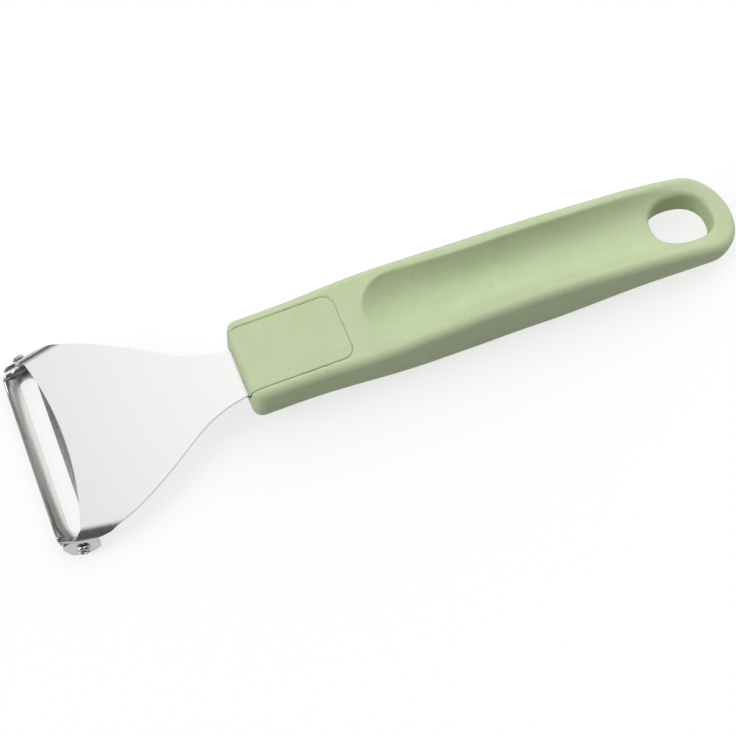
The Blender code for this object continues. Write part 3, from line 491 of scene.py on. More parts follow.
def carve(x, y, outer):
    """The lower of the outer skin and the dish, blended over a width that grows behind the scoop's front."""
    share = np.clip((x - RIDGE_START) / RIDGE_GROWTH, 0, 1)
    width = CRISP_EDGE + (SOFT_EDGE - CRISP_EDGE) * share * share * (3 - 2 * share)
    dish = scoop_surface(x, y)
    lean = np.clip(0.5 + 0.5 * (dish - outer) / width, 0, 1)
    return dish + (outer - dish) * lean - width * lean * (1 - lean)


print("depth of the scoop at 66 mm:", round(float(top_line(66.0) - scoop_surface(66.0, 0.0)), 2), "mm")

# %% [markdown]
# The cover lies in a drafted pocket: wide at the top, narrower at the tang. A moulded edge is never sharp, so
# both pieces have a small round where they meet, and the eye sees the pair of rounds as one fine groove. A bevel
# on each piece would have to match the other's on a rounded surface. It is surer to press the groove into the
# outer skin first and then cut the pieces apart along its bottom.

# %% The pocket's outline and the groove round it
COVER_LENGTH, COVER_WIDTH, COVER_CORNER = 25.1, 16.3, 2.7
DRAFT_WIDTH, DRAFT_LENGTH = 3.3, 0.8
GAP, SEAM_GAP, GROOVE_ROUND, GROOVE_ABOVE_FLOOR = 0.3, 0.05, 0.50, 0.4


def draft_share(z, floor, full):
    """0 at the top of the cover and 1 at the level of the tang."""
    return (full - z) / (full - floor)


def groove_depth(x, y, z, floor):
    """How far the skin sinks near the pocket's wall: the rise of a small round at that distance."""
    draft = draft_share(z, floor, top_line(COVER_LENGTH / 2))
    half = COVER_WIDTH / 2 - draft * DRAFT_WIDTH / 2
    end = COVER_LENGTH - draft * DRAFT_LENGTH
    over_x, over_y = x - (end - COVER_CORNER), y - (half - COVER_CORNER)
    outside = np.hypot(np.maximum(over_x, 0), np.maximum(over_y, 0))
    distance = np.abs(outside + np.minimum(np.maximum(over_x, over_y), 0) - COVER_CORNER)
    near = np.clip(1 - distance / GROOVE_ROUND, 0, 1)
    return np.where(z > floor + GROOVE_ABOVE_FLOOR, GROOVE_ROUND * (1 - np.sqrt(1 - near ** 2)), 0.0)


print("the groove is", 2 * GROOVE_ROUND, "mm wide")

# %% [markdown]
# The tang is the tail of the head sheet and lies aslant in the handle. The pocket's floor could be level, but the
# tang would then rest on its end alone. So the floor follows the sheet's tilt, a small gap below it.

# %% Level of the tang


def tang_level(place):
    """Height of the middle of the sheet inside the handle."""
    return NECK_HEIGHT + place * np.tan(TANG_TILT)


def pocket_floor(place):
    """Height of the pocket's floor: the sheet's underside less the gap."""
    return tang_level(place) - SHEET / 2 - GAP


print("floor of the pocket at the front:", round(float(pocket_floor(0.0)), 2), "mm")

# %% [markdown]
# The hanging hole is a long oval through the tail, with a rounded lip. It could be cut like the pocket, but a cut
# edge is hard to round. So the skin of the handle is put together from grids that meet along shared lines. The
# top runs in straight rows from the middle to the rounded edge. Round the hole straight rows would shear, so the
# top becomes a fan there: rays from the rim of the hole out to the cross line and the tail. The side wall with
# both rounded edges is one grid, the underside repeats the rows and the fan, and a short wall lines the hole.

# %% The hanging hole
HOLE_PLACE, HOLE_LENGTH, HOLE_WIDTH, HOLE_POWER = 115.4, 16.8, 12.4, 2.3
LIP_ROUND, HOLE_UNDER_ROUND = 1.2, 1.2


def hole_ring(turns, grow):
    """Superellipse round the hole at polar angles, grown on both axes: |x/a|^p + |y/b|^p = 1."""
    along, across = HOLE_LENGTH / 2 + grow, HOLE_WIDTH / 2 + grow
    c, s = np.cos(turns), np.sin(turns)
    reach = (np.abs(c / along) ** HOLE_POWER + np.abs(s / across) ** HOLE_POWER) ** (-1 / HOLE_POWER)
    return HOLE_PLACE + reach * c, np.where(np.abs(s) < 1e-9, 0.0, reach * s)


print("the hole starts at", HOLE_PLACE - HOLE_LENGTH / 2, "mm")

# %% [markdown]
# Every edge of the handle is rounded, for the hand and for the mould. A Bevel would do for an even edge, but
# this one's radius changes along the underside. So a quarter round is the tool of every edge: as the turn goes
# from 0 to 90 degrees, the skin moves out by radius times sine and down by radius times one minus cosine.

# %% The outer skin of the handle
TOP_LEVELS, WALL_LEVELS, UNDER_LEVELS, TOP_CROWDING = 18, 16, 9, 1.3
along_out, across_out = ring_outward()


def edge_level(turn, radius, line, sign):
    """One ring on a rounded edge: moved in by radius * (1 - sine), in height by radius * (1 - cosine)."""
    x, y = plan_ring(radius * (1 - np.sin(turn)))
    return x, y, line(x) - sign * radius * (1 - np.cos(turn))


def pressed(x, y, z, lean_along, lean_across, lean_up):
    """Sink the groove into a point along the direction that the skin faces."""
    depth = groove_depth(x, y, z, pocket_floor(x))
    return np.stack([x - depth * lean_along, y - depth * lean_across, z - depth * lean_up], -1)


def side_wall():
    """Top edge, wall and lower edge of the handle, as rings from the top down."""
    rings = []
    for turn in np.pi / 2 * np.linspace(0, 1, TOP_LEVELS) ** TOP_CROWDING:
        x, y, z = edge_level(turn, TOP_EDGE, top_line, 1)
        z = carve(x, y, z)
        rings.append(pressed(x, y, z, along_out * np.sin(turn), across_out * np.sin(turn), np.cos(turn)))
    x0, y0 = plan_ring(0.0)
    radius = through(x0, UNDER_EDGES)
    high, low = top_line(x0) - TOP_EDGE, bottom_line(x0) + radius
    for share in np.linspace(0, 1, WALL_LEVELS)[1:-1]:
        z = high + (low - high) * share
        rings.append(pressed(x0, y0, z, along_out, across_out, 0.0))
    for turn in np.linspace(np.pi / 2, 0, UNDER_LEVELS):
        rings.append(np.stack(edge_level(turn, radius, bottom_line, -1), -1))
    return np.stack(rings)


wall = side_wall()
print("side wall", wall.shape)

# %% [markdown]
# The top is where the hand and the eye rest, so its rows and rays are dense, and their heights are carved by the
# scoop and pressed by the groove. The underside could be left open, as it mostly faces the table, but an open
# skin can't be cut or printed. So it repeats the rows, and the rays in fewer steps, on its own smooth line.

# %% Rows and fans
RAY_CROWDING = 1.25


def rows_of(edge):
    """Straight rows from the middle line to the edge, which is a ring of points up to the cross line."""
    ends = edge[FACE.stop - 1:CROSS + 1]
    x = np.repeat(ends[:, :1], FACE_COUNT + 1, 1)
    return x, face_shares[None, :] * ends[:, 1:2]


def fan_edge(edge):
    """Outer ends of the rays: across the cross line, then along the side and round the tail."""
    across = np.stack([np.full(FACE_COUNT + 1, edge[CROSS, 0]), face_shares * edge[CROSS, 1]], -1)
    return np.concatenate([across, edge[CROSS + 1:, :2]])


top_edge, low_edge = wall[0], wall[-1]
top_fan, low_fan = fan_edge(top_edge), fan_edge(low_edge)
ray_turns = np.arctan2(top_fan[:, 1], top_fan[:, 0] - HOLE_PLACE)
ray_turns[0] = np.pi


def top_rows():
    """Rows of the top: the top line, carved by the scoop, with the groove pressed in."""
    x, y = rows_of(top_edge)
    z = carve(x, y, top_line(x))
    return pressed(x, y, z, 0.0, 0.0, 1.0)


def top_rays(outer_count=34, lip_count=10):
    """Rays from the hole: a quarter round for the lip, then straight out to the fan's edge."""
    grids = []
    for turn in np.linspace(np.pi / 2, 0, lip_count):
        x, y = hole_ring(ray_turns, LIP_ROUND * (1 - np.sin(turn)))
        grids.append(np.stack([x, y, carve(x, y, top_line(x)) - LIP_ROUND * (1 - np.cos(turn))], -1))
    x, y = hole_ring(ray_turns, LIP_ROUND)
    for share in np.linspace(0, 1, outer_count)[1:]:
        share = 1 - (1 - share) ** RAY_CROWDING
        rx, ry = x + (top_fan[:, 0] - x) * share, y + (top_fan[:, 1] - y) * share
        grids.append(np.stack([rx, ry, carve(rx, ry, top_line(rx))], -1))
    return np.stack(grids)


def low_rays(outer_count=9, edge_count=6):
    """The same rays under the handle, in fewer steps, with a round at the hole's lower rim."""
    grids = []
    for turn in np.linspace(np.pi / 2, 0, edge_count):
        x, y = hole_ring(ray_turns, HOLE_UNDER_ROUND * (1 - np.sin(turn)))
        grids.append(np.stack([x, y, bottom_line(x) + HOLE_UNDER_ROUND * (1 - np.cos(turn))], -1))
    x, y = hole_ring(ray_turns, HOLE_UNDER_ROUND)
    for share in np.linspace(0, 1, outer_count)[1:]:
        rx, ry = x + (low_fan[:, 0] - x) * share, y + (low_fan[:, 1] - y) * share
        grids.append(np.stack([rx, ry, bottom_line(rx)], -1))
    return np.stack(grids)


def low_rows():
    """Rows of the underside, on the bottom line."""
    x, y = rows_of(low_edge)
    return np.stack([x, y, bottom_line(x)], -1)


print("rays round half the hole:", len(ray_turns))

# %% [markdown]
# A pocket and its cover are the same kind of form: an outline with two round corners at the rear that grows a
# little from its low ring to its high ring, which is the draft that lets a moulding leave its mould. A tapered
# box with a bevel would round its front corners too, so the two rings are worked out and joined.

# %% Drafted forms
POCKET_MOUTH = -3.0
ASLANT = (0.3, 1.0, 0.1)


def cover_ring(start, draft, shrink, height):
    """Outline of the cover: along one side, round two corners and back along the other side."""
    half = COVER_WIDTH / 2 - draft * DRAFT_WIDTH / 2 - shrink
    end = COVER_LENGTH - draft * DRAFT_LENGTH - shrink
    radius = COVER_CORNER - shrink
    turn = np.linspace(0, np.pi / 2, 24)
    x = np.concatenate([[start], end - radius * (1 - np.sin(turn))])
    y = np.concatenate([[half], half - radius * (1 - np.cos(turn))])
    x, y = np.concatenate([x, x[::-1]]), np.concatenate([y, -y[::-1]])
    return np.stack([x, y, np.broadcast_to(height(x), x.shape)], -1)


def closed_form(name, low, high, material):
    """A closed solid between two rings; each end is filled from its middle."""
    rings = [np.broadcast_to(low.mean(0), low.shape), low, high, np.broadcast_to(high.mean(0), high.shape)]
    grid = np.stack(rings)
    return skin(name, [np.concatenate([grid, grid[:, :1]], 1)], material)


def drafted(name, shrink, lift, top):
    """The form that pocket and cover share, from the tang's level up past the handle's top."""
    low = cover_ring(POCKET_MOUTH, 1.0, shrink, lambda x: tang_level(x) + lift)
    high = cover_ring(POCKET_MOUTH, 0.0, shrink, lambda x: np.full(x.shape, top))
    middle = tang_level(COVER_LENGTH / 2) + lift
    over = (top - middle) / (top_line(COVER_LENGTH / 2) - middle)
    high[:, :2] = low[:, :2] + (high[:, :2] - low[:, :2]) * over
    return closed_form(name, low + TO_FRONT, high + TO_FRONT, handle_plastic)


def rod(name, radius, low, high, count=32):
    """A round rod between two points: a circle carried from the one to the other, closed at both ends."""
    low, high = np.asarray(low, float), np.asarray(high, float)
    axis = (high - low) / np.linalg.norm(high - low)
    first = np.cross(axis, ASLANT)
    first /= np.linalg.norm(first)
    second = np.cross(axis, first)
    turn = np.linspace(0, 2 * np.pi, count + 1)
    turn[-1] = 0.0
    circle = np.cos(turn)[:, None] * first + np.sin(turn)[:, None] * second
    rings = [low + 0 * circle, low + radius * circle, high + radius * circle, high + 0 * circle]
    return skin(name, [np.stack(rings)], handle_plastic)


print("drafted form:", drafted.__doc__)

# %% [markdown]
# Now the handle itself, one solid moulding. The pocket could be left out of its grids, but a closed skin is
# simpler to make and to test. So the skin is closed first, and then the pocket and the two sockets for the
# cover's pegs are cut out of it.

# %% The handle
TOOL_TOP, OVERLAP = 30.0, 1.0
PEG_PLACES, PEG_RADIUS, PEG_DEPTH = (7.5, 18.0), 1.4, 2.2


def outer_skin(name, material):
    """The whole outer form, with the hanging hole and without the pocket."""
    rim, foot = top_rays(), low_rays()
    share = np.linspace(0, 1, 11)[:, None, None]
    lining = rim[0] + (foot[0] - rim[0]) * share
    grids = both_sides([top_rows(), rim, wall, low_rows(), foot, lining])
    return skin(name, [grid + TO_FRONT for grid in grids], material)


handle = outer_skin("moulded_handle", handle_plastic)
cover = outer_skin("pressed_in_cover", cover_plastic)
cut(handle, drafted("pocket_tool", 0.0, -SHEET / 2 - GAP, TOOL_TOP))
for place in PEG_PLACES:
    level = tang_level(place) - SHEET / 2 - GAP
    foot, head = level - PEG_DEPTH - GAP, level + OVERLAP
    cut(handle, rod("socket_tool", PEG_RADIUS + GAP, (FRONT_X + place, 0, foot), (FRONT_X + place, 0, head)))
smooth(handle, MOULDED_CREASE)
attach(handle, "grip")
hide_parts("handle")
print("handle", len(handle.data.polygons), "faces")

# %% [markdown]
# The cover hides the tang and holds it. A cover of its own making would have to be matched to the handle all
# round. Instead it is what the same outer skin shares with the same drafted form, made smaller by the seam, so it
# is flush by itself, also where it wraps over the front. Underneath it is hollow, as mouldings are, so that its
# walls cool evenly, and two pegs reach down through the holes in the tang.

# %% The cover
COVER_WALL, FRONT_WALL_MORE, ROOF_MORE, BOSS_WALL = 1.9, 0.6, 0.4, 0.9
HOLLOW_ROOF_DRAFT = 0.35


def hollow_ring(draft, height):
    """Four corners of the hollow, one wall inside the cover's edge."""
    start, half = COVER_WALL + FRONT_WALL_MORE, COVER_WIDTH / 2 - draft * DRAFT_WIDTH / 2 - GAP - COVER_WALL
    end = COVER_LENGTH - draft * DRAFT_LENGTH - GAP - COVER_WALL
    x, y = np.array([start, end, end, start]), np.array([half, half, -half, -half])
    return np.stack([x + FRONT_X, y, height(x)], -1)


roof = float(top_line(COVER_LENGTH / 2)) - COVER_WALL - ROOF_MORE
cut(cover, drafted("cover_tool", SEAM_GAP, SHEET / 2 + GAP, TOOL_TOP), "INTERSECT")
low_ring = hollow_ring(1.0, lambda x: tang_level(x) - OVERLAP)
high_ring = hollow_ring(HOLLOW_ROOF_DRAFT, lambda x: x * 0 + roof)
cut(cover, closed_form("hollow_tool", low_ring, high_ring, cover_plastic))
for place in PEG_PLACES:
    x, foot = FRONT_X + place, tang_level(place) + SHEET / 2 + GAP
    cut(cover, rod("boss", PEG_RADIUS + BOSS_WALL, (x, 0, foot), (x, 0, roof + OVERLAP / 2)), "UNION")
    cut(cover, rod("peg", PEG_RADIUS, (x, 0, foot - SHEET - GAP - PEG_DEPTH), (x, 0, foot + OVERLAP)), "UNION")
smooth(cover, MOULDED_CREASE)
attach(cover, "grip")
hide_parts("tang_cover")
print("cover", len(cover.data.polygons), "faces")

# %% [markdown]
# The blank is cut from the sheet in one stroke. Its outline could be a drawn curve, but arcs are what a die is
# made of, and they keep their real sizes. The outline comes in two runs. The front edge is a shallow arc that
# goes over into the front of the ear. The side edge starts at the tang, follows the neck, flares out in an S and
# ends round the ear. Both are sampled finely, and small quadratic arcs round the corners of the ear.

# %% Outline of the blank
NECK_HALF, TANG_LENGTH, TANG_CORNER = 5.8, 23.4, 1.5
FLARE_START, NECK_FLARE_RADIUS, FLARE_ANGLE = 2.9, 31.5, 33.0
FLARE_STRAIGHT, FLARE_OUTER_RADIUS, FLARE_OUTER_ANGLE = 6.6, 100.0, 8.4
ARC_PLACE, ARC_SAG, ARC_HALF_WIDTH, ARC_SHARE = 42.2, 2.6, 19.6, 7 / 8
CORNER_STEPS, CORNER_LIMIT = 8, 0.48


def arc(centre, radius, start, end, count):
    """Points on a circle between two angles in degrees."""
    turn = np.radians(np.linspace(start, end, count))
    return np.stack([centre[0] + radius * np.cos(turn), centre[1] + radius * np.sin(turn)], -1)


def round_corners(points, radii):
    """Round a run's corners: each arc starts and ends radius / tan(half the angle) from its corner, or sooner."""
    points = np.asarray(points, float)
    run = [points[:1]]
    for before, corner, after, radius in zip(points, points[1:], points[2:], radii):
        back, on = before - corner, after - corner
        back_length, on_length = np.linalg.norm(back), np.linalg.norm(on)
        half = np.arccos(back @ on / (back_length * on_length)) / 2
        reach = min(radius / np.tan(half), CORNER_LIMIT * back_length, CORNER_LIMIT * on_length)
        start, end = corner + back / back_length * reach, corner + on / on_length * reach
        t = np.linspace(0, 1, CORNER_STEPS + 1)[:, None]
        run.append((1 - t) ** 2 * start + 2 * t * (1 - t) * corner + t * t * end)
    return np.concatenate(run + [points[-1:]])


def run_length(line):
    """Length along a line up to each of its points."""
    return np.concatenate([[0], np.cumsum(np.linalg.norm(np.diff(line, axis=0), axis=1))])


def at_shares(line, shares):
    """Points of a line at shares of its length."""
    length = run_length(line)
    at = np.asarray(shares) * length[-1]
    return np.stack([np.interp(at, length, line[:, 0]), np.interp(at, length, line[:, 1])], -1)


def blank_edges():
    """Front edge from the middle to the ear, side edge from the tang to the ear, and the ear's three edges."""
    arc_radius = (ARC_HALF_WIDTH ** 2 + ARC_SAG ** 2) / (2 * ARC_SAG)
    spread = np.degrees(np.arcsin(ARC_HALF_WIDTH / arc_radius))
    centre = (-ARC_PLACE - arc_radius, 0.0)
    front = arc(centre, arc_radius, 0.0, spread * ARC_SHARE, 60)
    corner = arc(centre, arc_radius, spread, spread, 1)
    foot, lobe, heel = PIVOT_DOWN + EAR_TIP_DROP, EAR_FRONT_LOBE, EAR_REAR_LOBE
    ear = np.array([
        (0.5, -1.2), (-1.2, 1.0), (-lobe, PIVOT_DOWN - 1.7), (-lobe + 0.1, PIVOT_DOWN - 0.4),
        (-lobe + 1.5, foot - 0.3), (0.2, foot), (2.0, foot - 0.6), (heel + 0.1, PIVOT_DOWN + 0.3),
        (heel - 0.1, PIVOT_DOWN - 1.2), (heel - 0.8, PIVOT_DOWN - 2.3), (EAR_BEND_LENGTH, 0.4)])
    ear = np.stack([ear_blank(along, down) for along, down in ear])
    flare = np.radians(FLARE_ANGLE)
    neck_centre = (FLARE_START, NECK_HALF + NECK_FLARE_RADIUS)
    inner = arc(neck_centre, NECK_FLARE_RADIUS, -90.0 - FLARE_ANGLE, -90.0, 40)
    straight_end = inner[0] + FLARE_STRAIGHT * np.array([-np.cos(flare), np.sin(flare)])
    outer_centre = straight_end - FLARE_OUTER_RADIUS * np.array([np.sin(flare), np.cos(flare)])
    past_flare = 90.0 - FLARE_ANGLE
    outer = arc(outer_centre, FLARE_OUTER_RADIUS, past_flare + FLARE_OUTER_ANGLE, past_flare, 24)
    # One radius for each corner: first the front edge's end, then the eleven points of the ear.
    radii = [1.6, 1.0, 2.0, 0.5, 1.0, 1.0, 3.0, 3.0, 1.2, 0.8, 0.6, 4.0]
    edge = round_corners(np.concatenate([front[-1:], corner, ear, outer[:1]]), radii)
    tang = arc((TANG_LENGTH - TANG_CORNER, NECK_HALF - TANG_CORNER), TANG_CORNER, 90.0, 0.0, 9)
    # The patches of the blank meet at the middles of four of these arcs.
    middle_of = 1 + CORNER_STEPS // 2
    throat_front, lobe_top, heel_low, notch = [middle_of + (CORNER_STEPS + 1) * turn for turn in (2, 3, 8, 10)]
    front_edge = np.concatenate([front, edge[1:throat_front + 1]])
    side_edge = np.concatenate([edge[notch:-1], outer, inner, tang])[::-1]
    ear_front, ear_foot = edge[throat_front:lobe_top + 1], edge[lobe_top:heel_low + 1][::-1]
    return front_edge, side_edge, ear_front, ear_foot, edge[heel_low:notch + 1][::-1]


front_edge, side_edge, ear_front, ear_foot, ear_heel = blank_edges()
print("blank reaches", round(float(ear_foot[:, 1].max()), 2), "mm to each side")

# %% [markdown]
# A flat outline could be filled with one many-sided face, but such a face can't bend. So the blank is filled with
# two patches of quads that meet on the ear's throat. Rows of the plate run from the middle line out to the side
# edge and the throat; towards the front they bow, until the last one lies on the front edge. The ear is a patch
# between four edges, blended from its opposite sides. The points crowd where the bend will be. A bevel of a
# quarter of a millimetre then takes the stamped edge off.

# %% The head sheet
EDGE_EASE, BLADE_EASE, EASED_ABOVE = 0.27, 0.1, 55.0
FLARE_ROW, EAR_ROW, LAST_SIDE_ROW = -14.0, -31.0, -36.0
EAR_REACH, OUTER_SHARE, EAR_CROWDING = 19.0, 0.74, 1.25
THROAT_SHARES = np.linspace(0, 1, 37)
throat = side_edge[-1] + THROAT_SHARES[:, None] * (front_edge[-1] - side_edge[-1])


def plate_rows():
    """Straight rows from the middle line to the side, bowed by a growing share of the front edge's own bow."""
    length = run_length(side_edge)
    neck_at, flare_at = np.interp([-FLARE_START, -FLARE_ROW], -side_edge[:, 0], length)
    ear_at = length[np.argmax((side_edge[:, 1] > EAR_REACH) & (side_edge[:, 0] < LAST_SIDE_ROW))]
    at = np.concatenate([np.linspace(0, neck_at, 16), np.linspace(neck_at, ear_at, 56)[1:],
                         np.linspace(ear_at, length[-1], 40)[1:]])
    side = np.concatenate([at_shares(side_edge, at / length[-1]), throat[1:]])
    at = np.concatenate([at, length[-1] + run_length(throat)[1:]])
    middle = np.interp(at, [0, neck_at, flare_at, ear_at, length[-1], at[-1]],
                       [TANG_LENGTH, FLARE_START, FLARE_ROW, EAR_ROW, LAST_SIDE_ROW, -ARC_PLACE])
    share = np.concatenate([np.linspace(0, OUTER_SHARE, 20), np.linspace(OUTER_SHARE, 1, 34)[1:]])
    start = np.stack([middle, np.zeros(len(at))], -1)
    rows = start[:, None] + share[None, :, None] * (side - start)[:, None]
    bow = at_shares(front_edge, share) - rows[-1]
    grow = np.clip((at - ear_at) / (at[-1] - ear_at), 0, 1) ** 2
    return rows + grow[:, None, None] * bow[None], len(at) - len(THROAT_SHARES) + 1


def ear_rows():
    """Blend of opposite edges: throat and foot, heel and front, less the blend of the four corners."""
    t = np.linspace(0, 1, 26) ** EAR_CROWDING
    s = THROAT_SHARES[None, :, None]
    down = t[:, None, None]
    foot = at_shares(ear_foot, THROAT_SHARES)[None]
    heel, front = at_shares(ear_heel, t)[:, None], at_shares(ear_front, t)[:, None]
    corners = ((1 - down) * ((1 - s) * throat[0] + s * throat[-1])
               + down * ((1 - s) * foot[0, 0] + s * foot[0, -1]))
    return (1 - down) * throat[None] + down * foot + (1 - s) * heel + s * front - corners


def faces_and_rims(rows, bend, half_thick, rims):
    """Both faces of a sheet and the rims between them, each rim given as a piece of the grid's border."""
    upper, lower = [bend(rows[..., 0], rows[..., 1], height) for height in (half_thick, -half_thick)]
    return [upper, lower] + [np.stack([upper[rim], lower[rim]]) for rim in rims]


def ease_edges(piece, width, segments):
    """Take the sharp edge off a sheet with a bevel of a width in millimetres."""
    bevel = piece.modifiers.new("eased", "BEVEL")
    bevel.width = width * MM
    bevel.segments = segments
    bevel.limit_method = "ANGLE"
    bevel.angle_limit = np.radians(EASED_ABOVE)
    return finish_mesh(piece)


plate, side_rows = plate_rows()
head_grids = faces_and_rims(plate, bend_sheet, SHEET / 2, [np.s_[0, :], np.s_[-1, :], np.s_[:side_rows, -1]])
head_grids += faces_and_rims(ear_rows(), bend_sheet, SHEET / 2, [np.s_[-1, :], np.s_[:, 0], np.s_[:, -1]])
head_grids = [set_down(grid, TANG_TILT, HEAD_ORIGIN) for grid in both_sides(head_grids)]
head = skin("head_sheet", head_grids, head_steel)
ease_edges(head, EDGE_EASE, 4)
print("the head's bevels make", len(head.data.polygons), "faces")

# %% [markdown]
# The press also pierces the sheet: two pivot holes through the ears and two peg holes through the tang. The rows
# of the flat sheet could be led round each hole, but that would disturb them where the bend needs them even. So
# the holes are drilled after the bending, the pivot holes square to their ears.

# %% Holes in the head sheet
PIVOT_HOLE_RADIUS, EAR_DRILL_REACH, TANG_DRILL_REACH = 1.35, 1.2, 2
PIVOT = bend_sheet(*[np.array(v) for v in (*ear_blank(0.0, PIVOT_DOWN), 0.0)])
EAR_SQUARE = np.append(EAR_OUT * np.sin(EAR_BEND), np.cos(EAR_BEND))
for side in (1, -1):
    flip = np.array([1.0, side, 1.0])
    ends = [set_down((PIVOT + reach * EAR_SQUARE) * flip, TANG_TILT, HEAD_ORIGIN)
            for reach in (-EAR_DRILL_REACH, EAR_DRILL_REACH)]
    cut(head, rod("pivot_drill", PIVOT_HOLE_RADIUS, *ends))
for place in PEG_PLACES:
    x, level = FRONT_X + place, tang_level(place)
    ends = [(x, 0, level + reach) for reach in (-TANG_DRILL_REACH, TANG_DRILL_REACH)]
    cut(head, rod("peg_drill", PEG_RADIUS + GAP, *ends))
smooth(head, SHEET_CREASE)
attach(head, "grip")
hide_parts("head_plate")
print("head", len(head.data.polygons), "faces, pivot", np.round(PIVOT, 2))

# %% [markdown]
# The blade is the thinner sheet. It could be bent with a modifier, but a modifier bends only one way at a time.
# Here the same idea as for the head serves again. Flat, the blade is a long plate with rounded ends, a slot
# along its middle and a lug at each end. Pressed, it becomes a shallow trough: across the blade the sheet
# follows a circle, and near the ends the circle opens while the lug turns up beside the ear. The corners curl up
# a little, less than in the CAD model, so that this finer sheet clears the head at the end of its swing.

# %% Bending the blade
BLADE_SHEET, BLADE_WIDTH, BLADE_DEPTH, BLADE_FLOOR_DROP = 0.6, 9.8, 2.5, 1.6
BLADE_CORNER, BLADE_CORNER_RISE, SLOT_WIDTH, SLOT_LENGTH = 6.2, 0.9, 4.2, 40.0
LUG_WIDTH, LUG_TOP, LUG_RADIUS, LUG_CLEARANCE = 5.8, 1.7, 1.0, 0.6
CURL_RUN, FADE_MORE, NEARLY_FLAT = 4, 0.6, 1e-7
LUG_TURN = np.pi - EAR_BEND
TROUGH = ((BLADE_WIDTH / 2) ** 2 + BLADE_DEPTH ** 2) / (2 * BLADE_DEPTH)
EAR_TILT = np.pi / 2 - EAR_BEND
LUG_STEP = SHEET / 2 + LUG_CLEARANCE + BLADE_SHEET / 2


def lug_lengths():
    """Lengths along the flat blade: to the start and end of the lug's bend, and to the lug's top."""
    inside, below = LUG_STEP * np.cos(EAR_TILT), LUG_STEP * np.sin(EAR_TILT)
    up = (BLADE_FLOOR_DROP - below - LUG_RADIUS * (1 - np.cos(LUG_TURN))) / np.sin(LUG_TURN)
    straight = EAR_SPAN / 2 - inside - LUG_RADIUS * np.sin(LUG_TURN) - up * np.cos(LUG_TURN)
    foot = straight + LUG_RADIUS * LUG_TURN
    return straight, foot, foot + up + LUG_TOP


BLADE_STRAIGHT, LUG_FOOT, LUG_END = lug_lengths()


def bend_blade(across, along, height):
    """Carry flat points to the trough and the lugs: a circle across, fading out where the lug turns up."""
    side = np.where(along < 0, -1.0, 1.0)
    shear = across * np.tan(EAR_SPLAY)
    run = np.abs(along) - shear
    angle = np.clip((run - BLADE_STRAIGHT) / LUG_RADIUS, 0, LUG_TURN)
    rest = np.maximum(run - LUG_FOOT, 0)
    y = np.minimum(run, BLADE_STRAIGHT) + LUG_RADIUS * np.sin(angle) + rest * np.cos(LUG_TURN)
    z = -BLADE_FLOOR_DROP + LUG_RADIUS * (1 - np.cos(angle)) + rest * np.sin(LUG_TURN)
    fade = np.clip((LUG_FOOT - run) / (LUG_FOOT - BLADE_STRAIGHT + FADE_MORE), 0, 1)
    curve = np.maximum(fade * fade * (3 - 2 * fade) / TROUGH, NEARLY_FLAT)
    arc_turn = across * curve
    x = np.sin(arc_turn) / curve - height * np.sin(arc_turn)
    lift = (1 - np.cos(arc_turn)) / curve + height * np.cos(arc_turn)
    near_end = np.clip((run - BLADE_STRAIGHT + CURL_RUN) / CURL_RUN, 0, 1) ** 2
    curl = BLADE_CORNER_RISE * near_end * (2 * across / BLADE_WIDTH) ** 2
    return np.stack([x, side * (y + shear - lift * np.sin(angle)), z + lift * np.cos(angle) + curl], -1)


print("flat blade", round(2 * LUG_END, 1), "mm long, lugs start at", round(LUG_FOOT, 2), "mm")

# %% [markdown]
# On the real blade the slot is pierced, and its edges are ground. A Boolean would leave long thin faces along
# such a slot, which bend badly, so the slot is left open between the rows. Stations run along the blade and
# crowd at the end of the slot, at the rounded corner and in the lug's bend. At each station a row goes from the
# slot out to the edge; past the slot's end it starts on the middle line.

# %% The blade
BLADE_HALF = TROUGH * np.arcsin(BLADE_WIDTH / 2 / TROUGH)
LUG_TIP, LUG_TOP_ROUND, LUG_TOP_POWER = LUG_END + 0.3, 2.4, 2.6
TO_REAR = np.array([-1.0, 1.0])
ROW_POINTS, ROW_CROWDING = 23, 0.4


def blade_edge(along):
    """Half width of the flat blade: full, then a quarter ellipse down to the lug, then the lug's round top."""
    corner_start = LUG_FOOT - BLADE_CORNER
    into = np.clip((along - corner_start) / BLADE_CORNER, 0, 1)
    half = LUG_WIDTH / 2 + (BLADE_HALF - LUG_WIDTH / 2) * np.sqrt(1 - into ** 2)
    over = np.clip((along - (LUG_TIP - LUG_TOP_ROUND)) / LUG_TOP_ROUND, 0, 1)
    return np.where(over > 0, LUG_WIDTH / 2 * np.sqrt(1 - over ** LUG_TOP_POWER), half)


def blade_slot(along):
    """Half width of the slot, which ends in half circles."""
    into = np.clip(along - (SLOT_LENGTH - SLOT_WIDTH) / 2, 0, SLOT_WIDTH / 2)
    return np.sqrt((SLOT_WIDTH / 2) ** 2 - into ** 2)


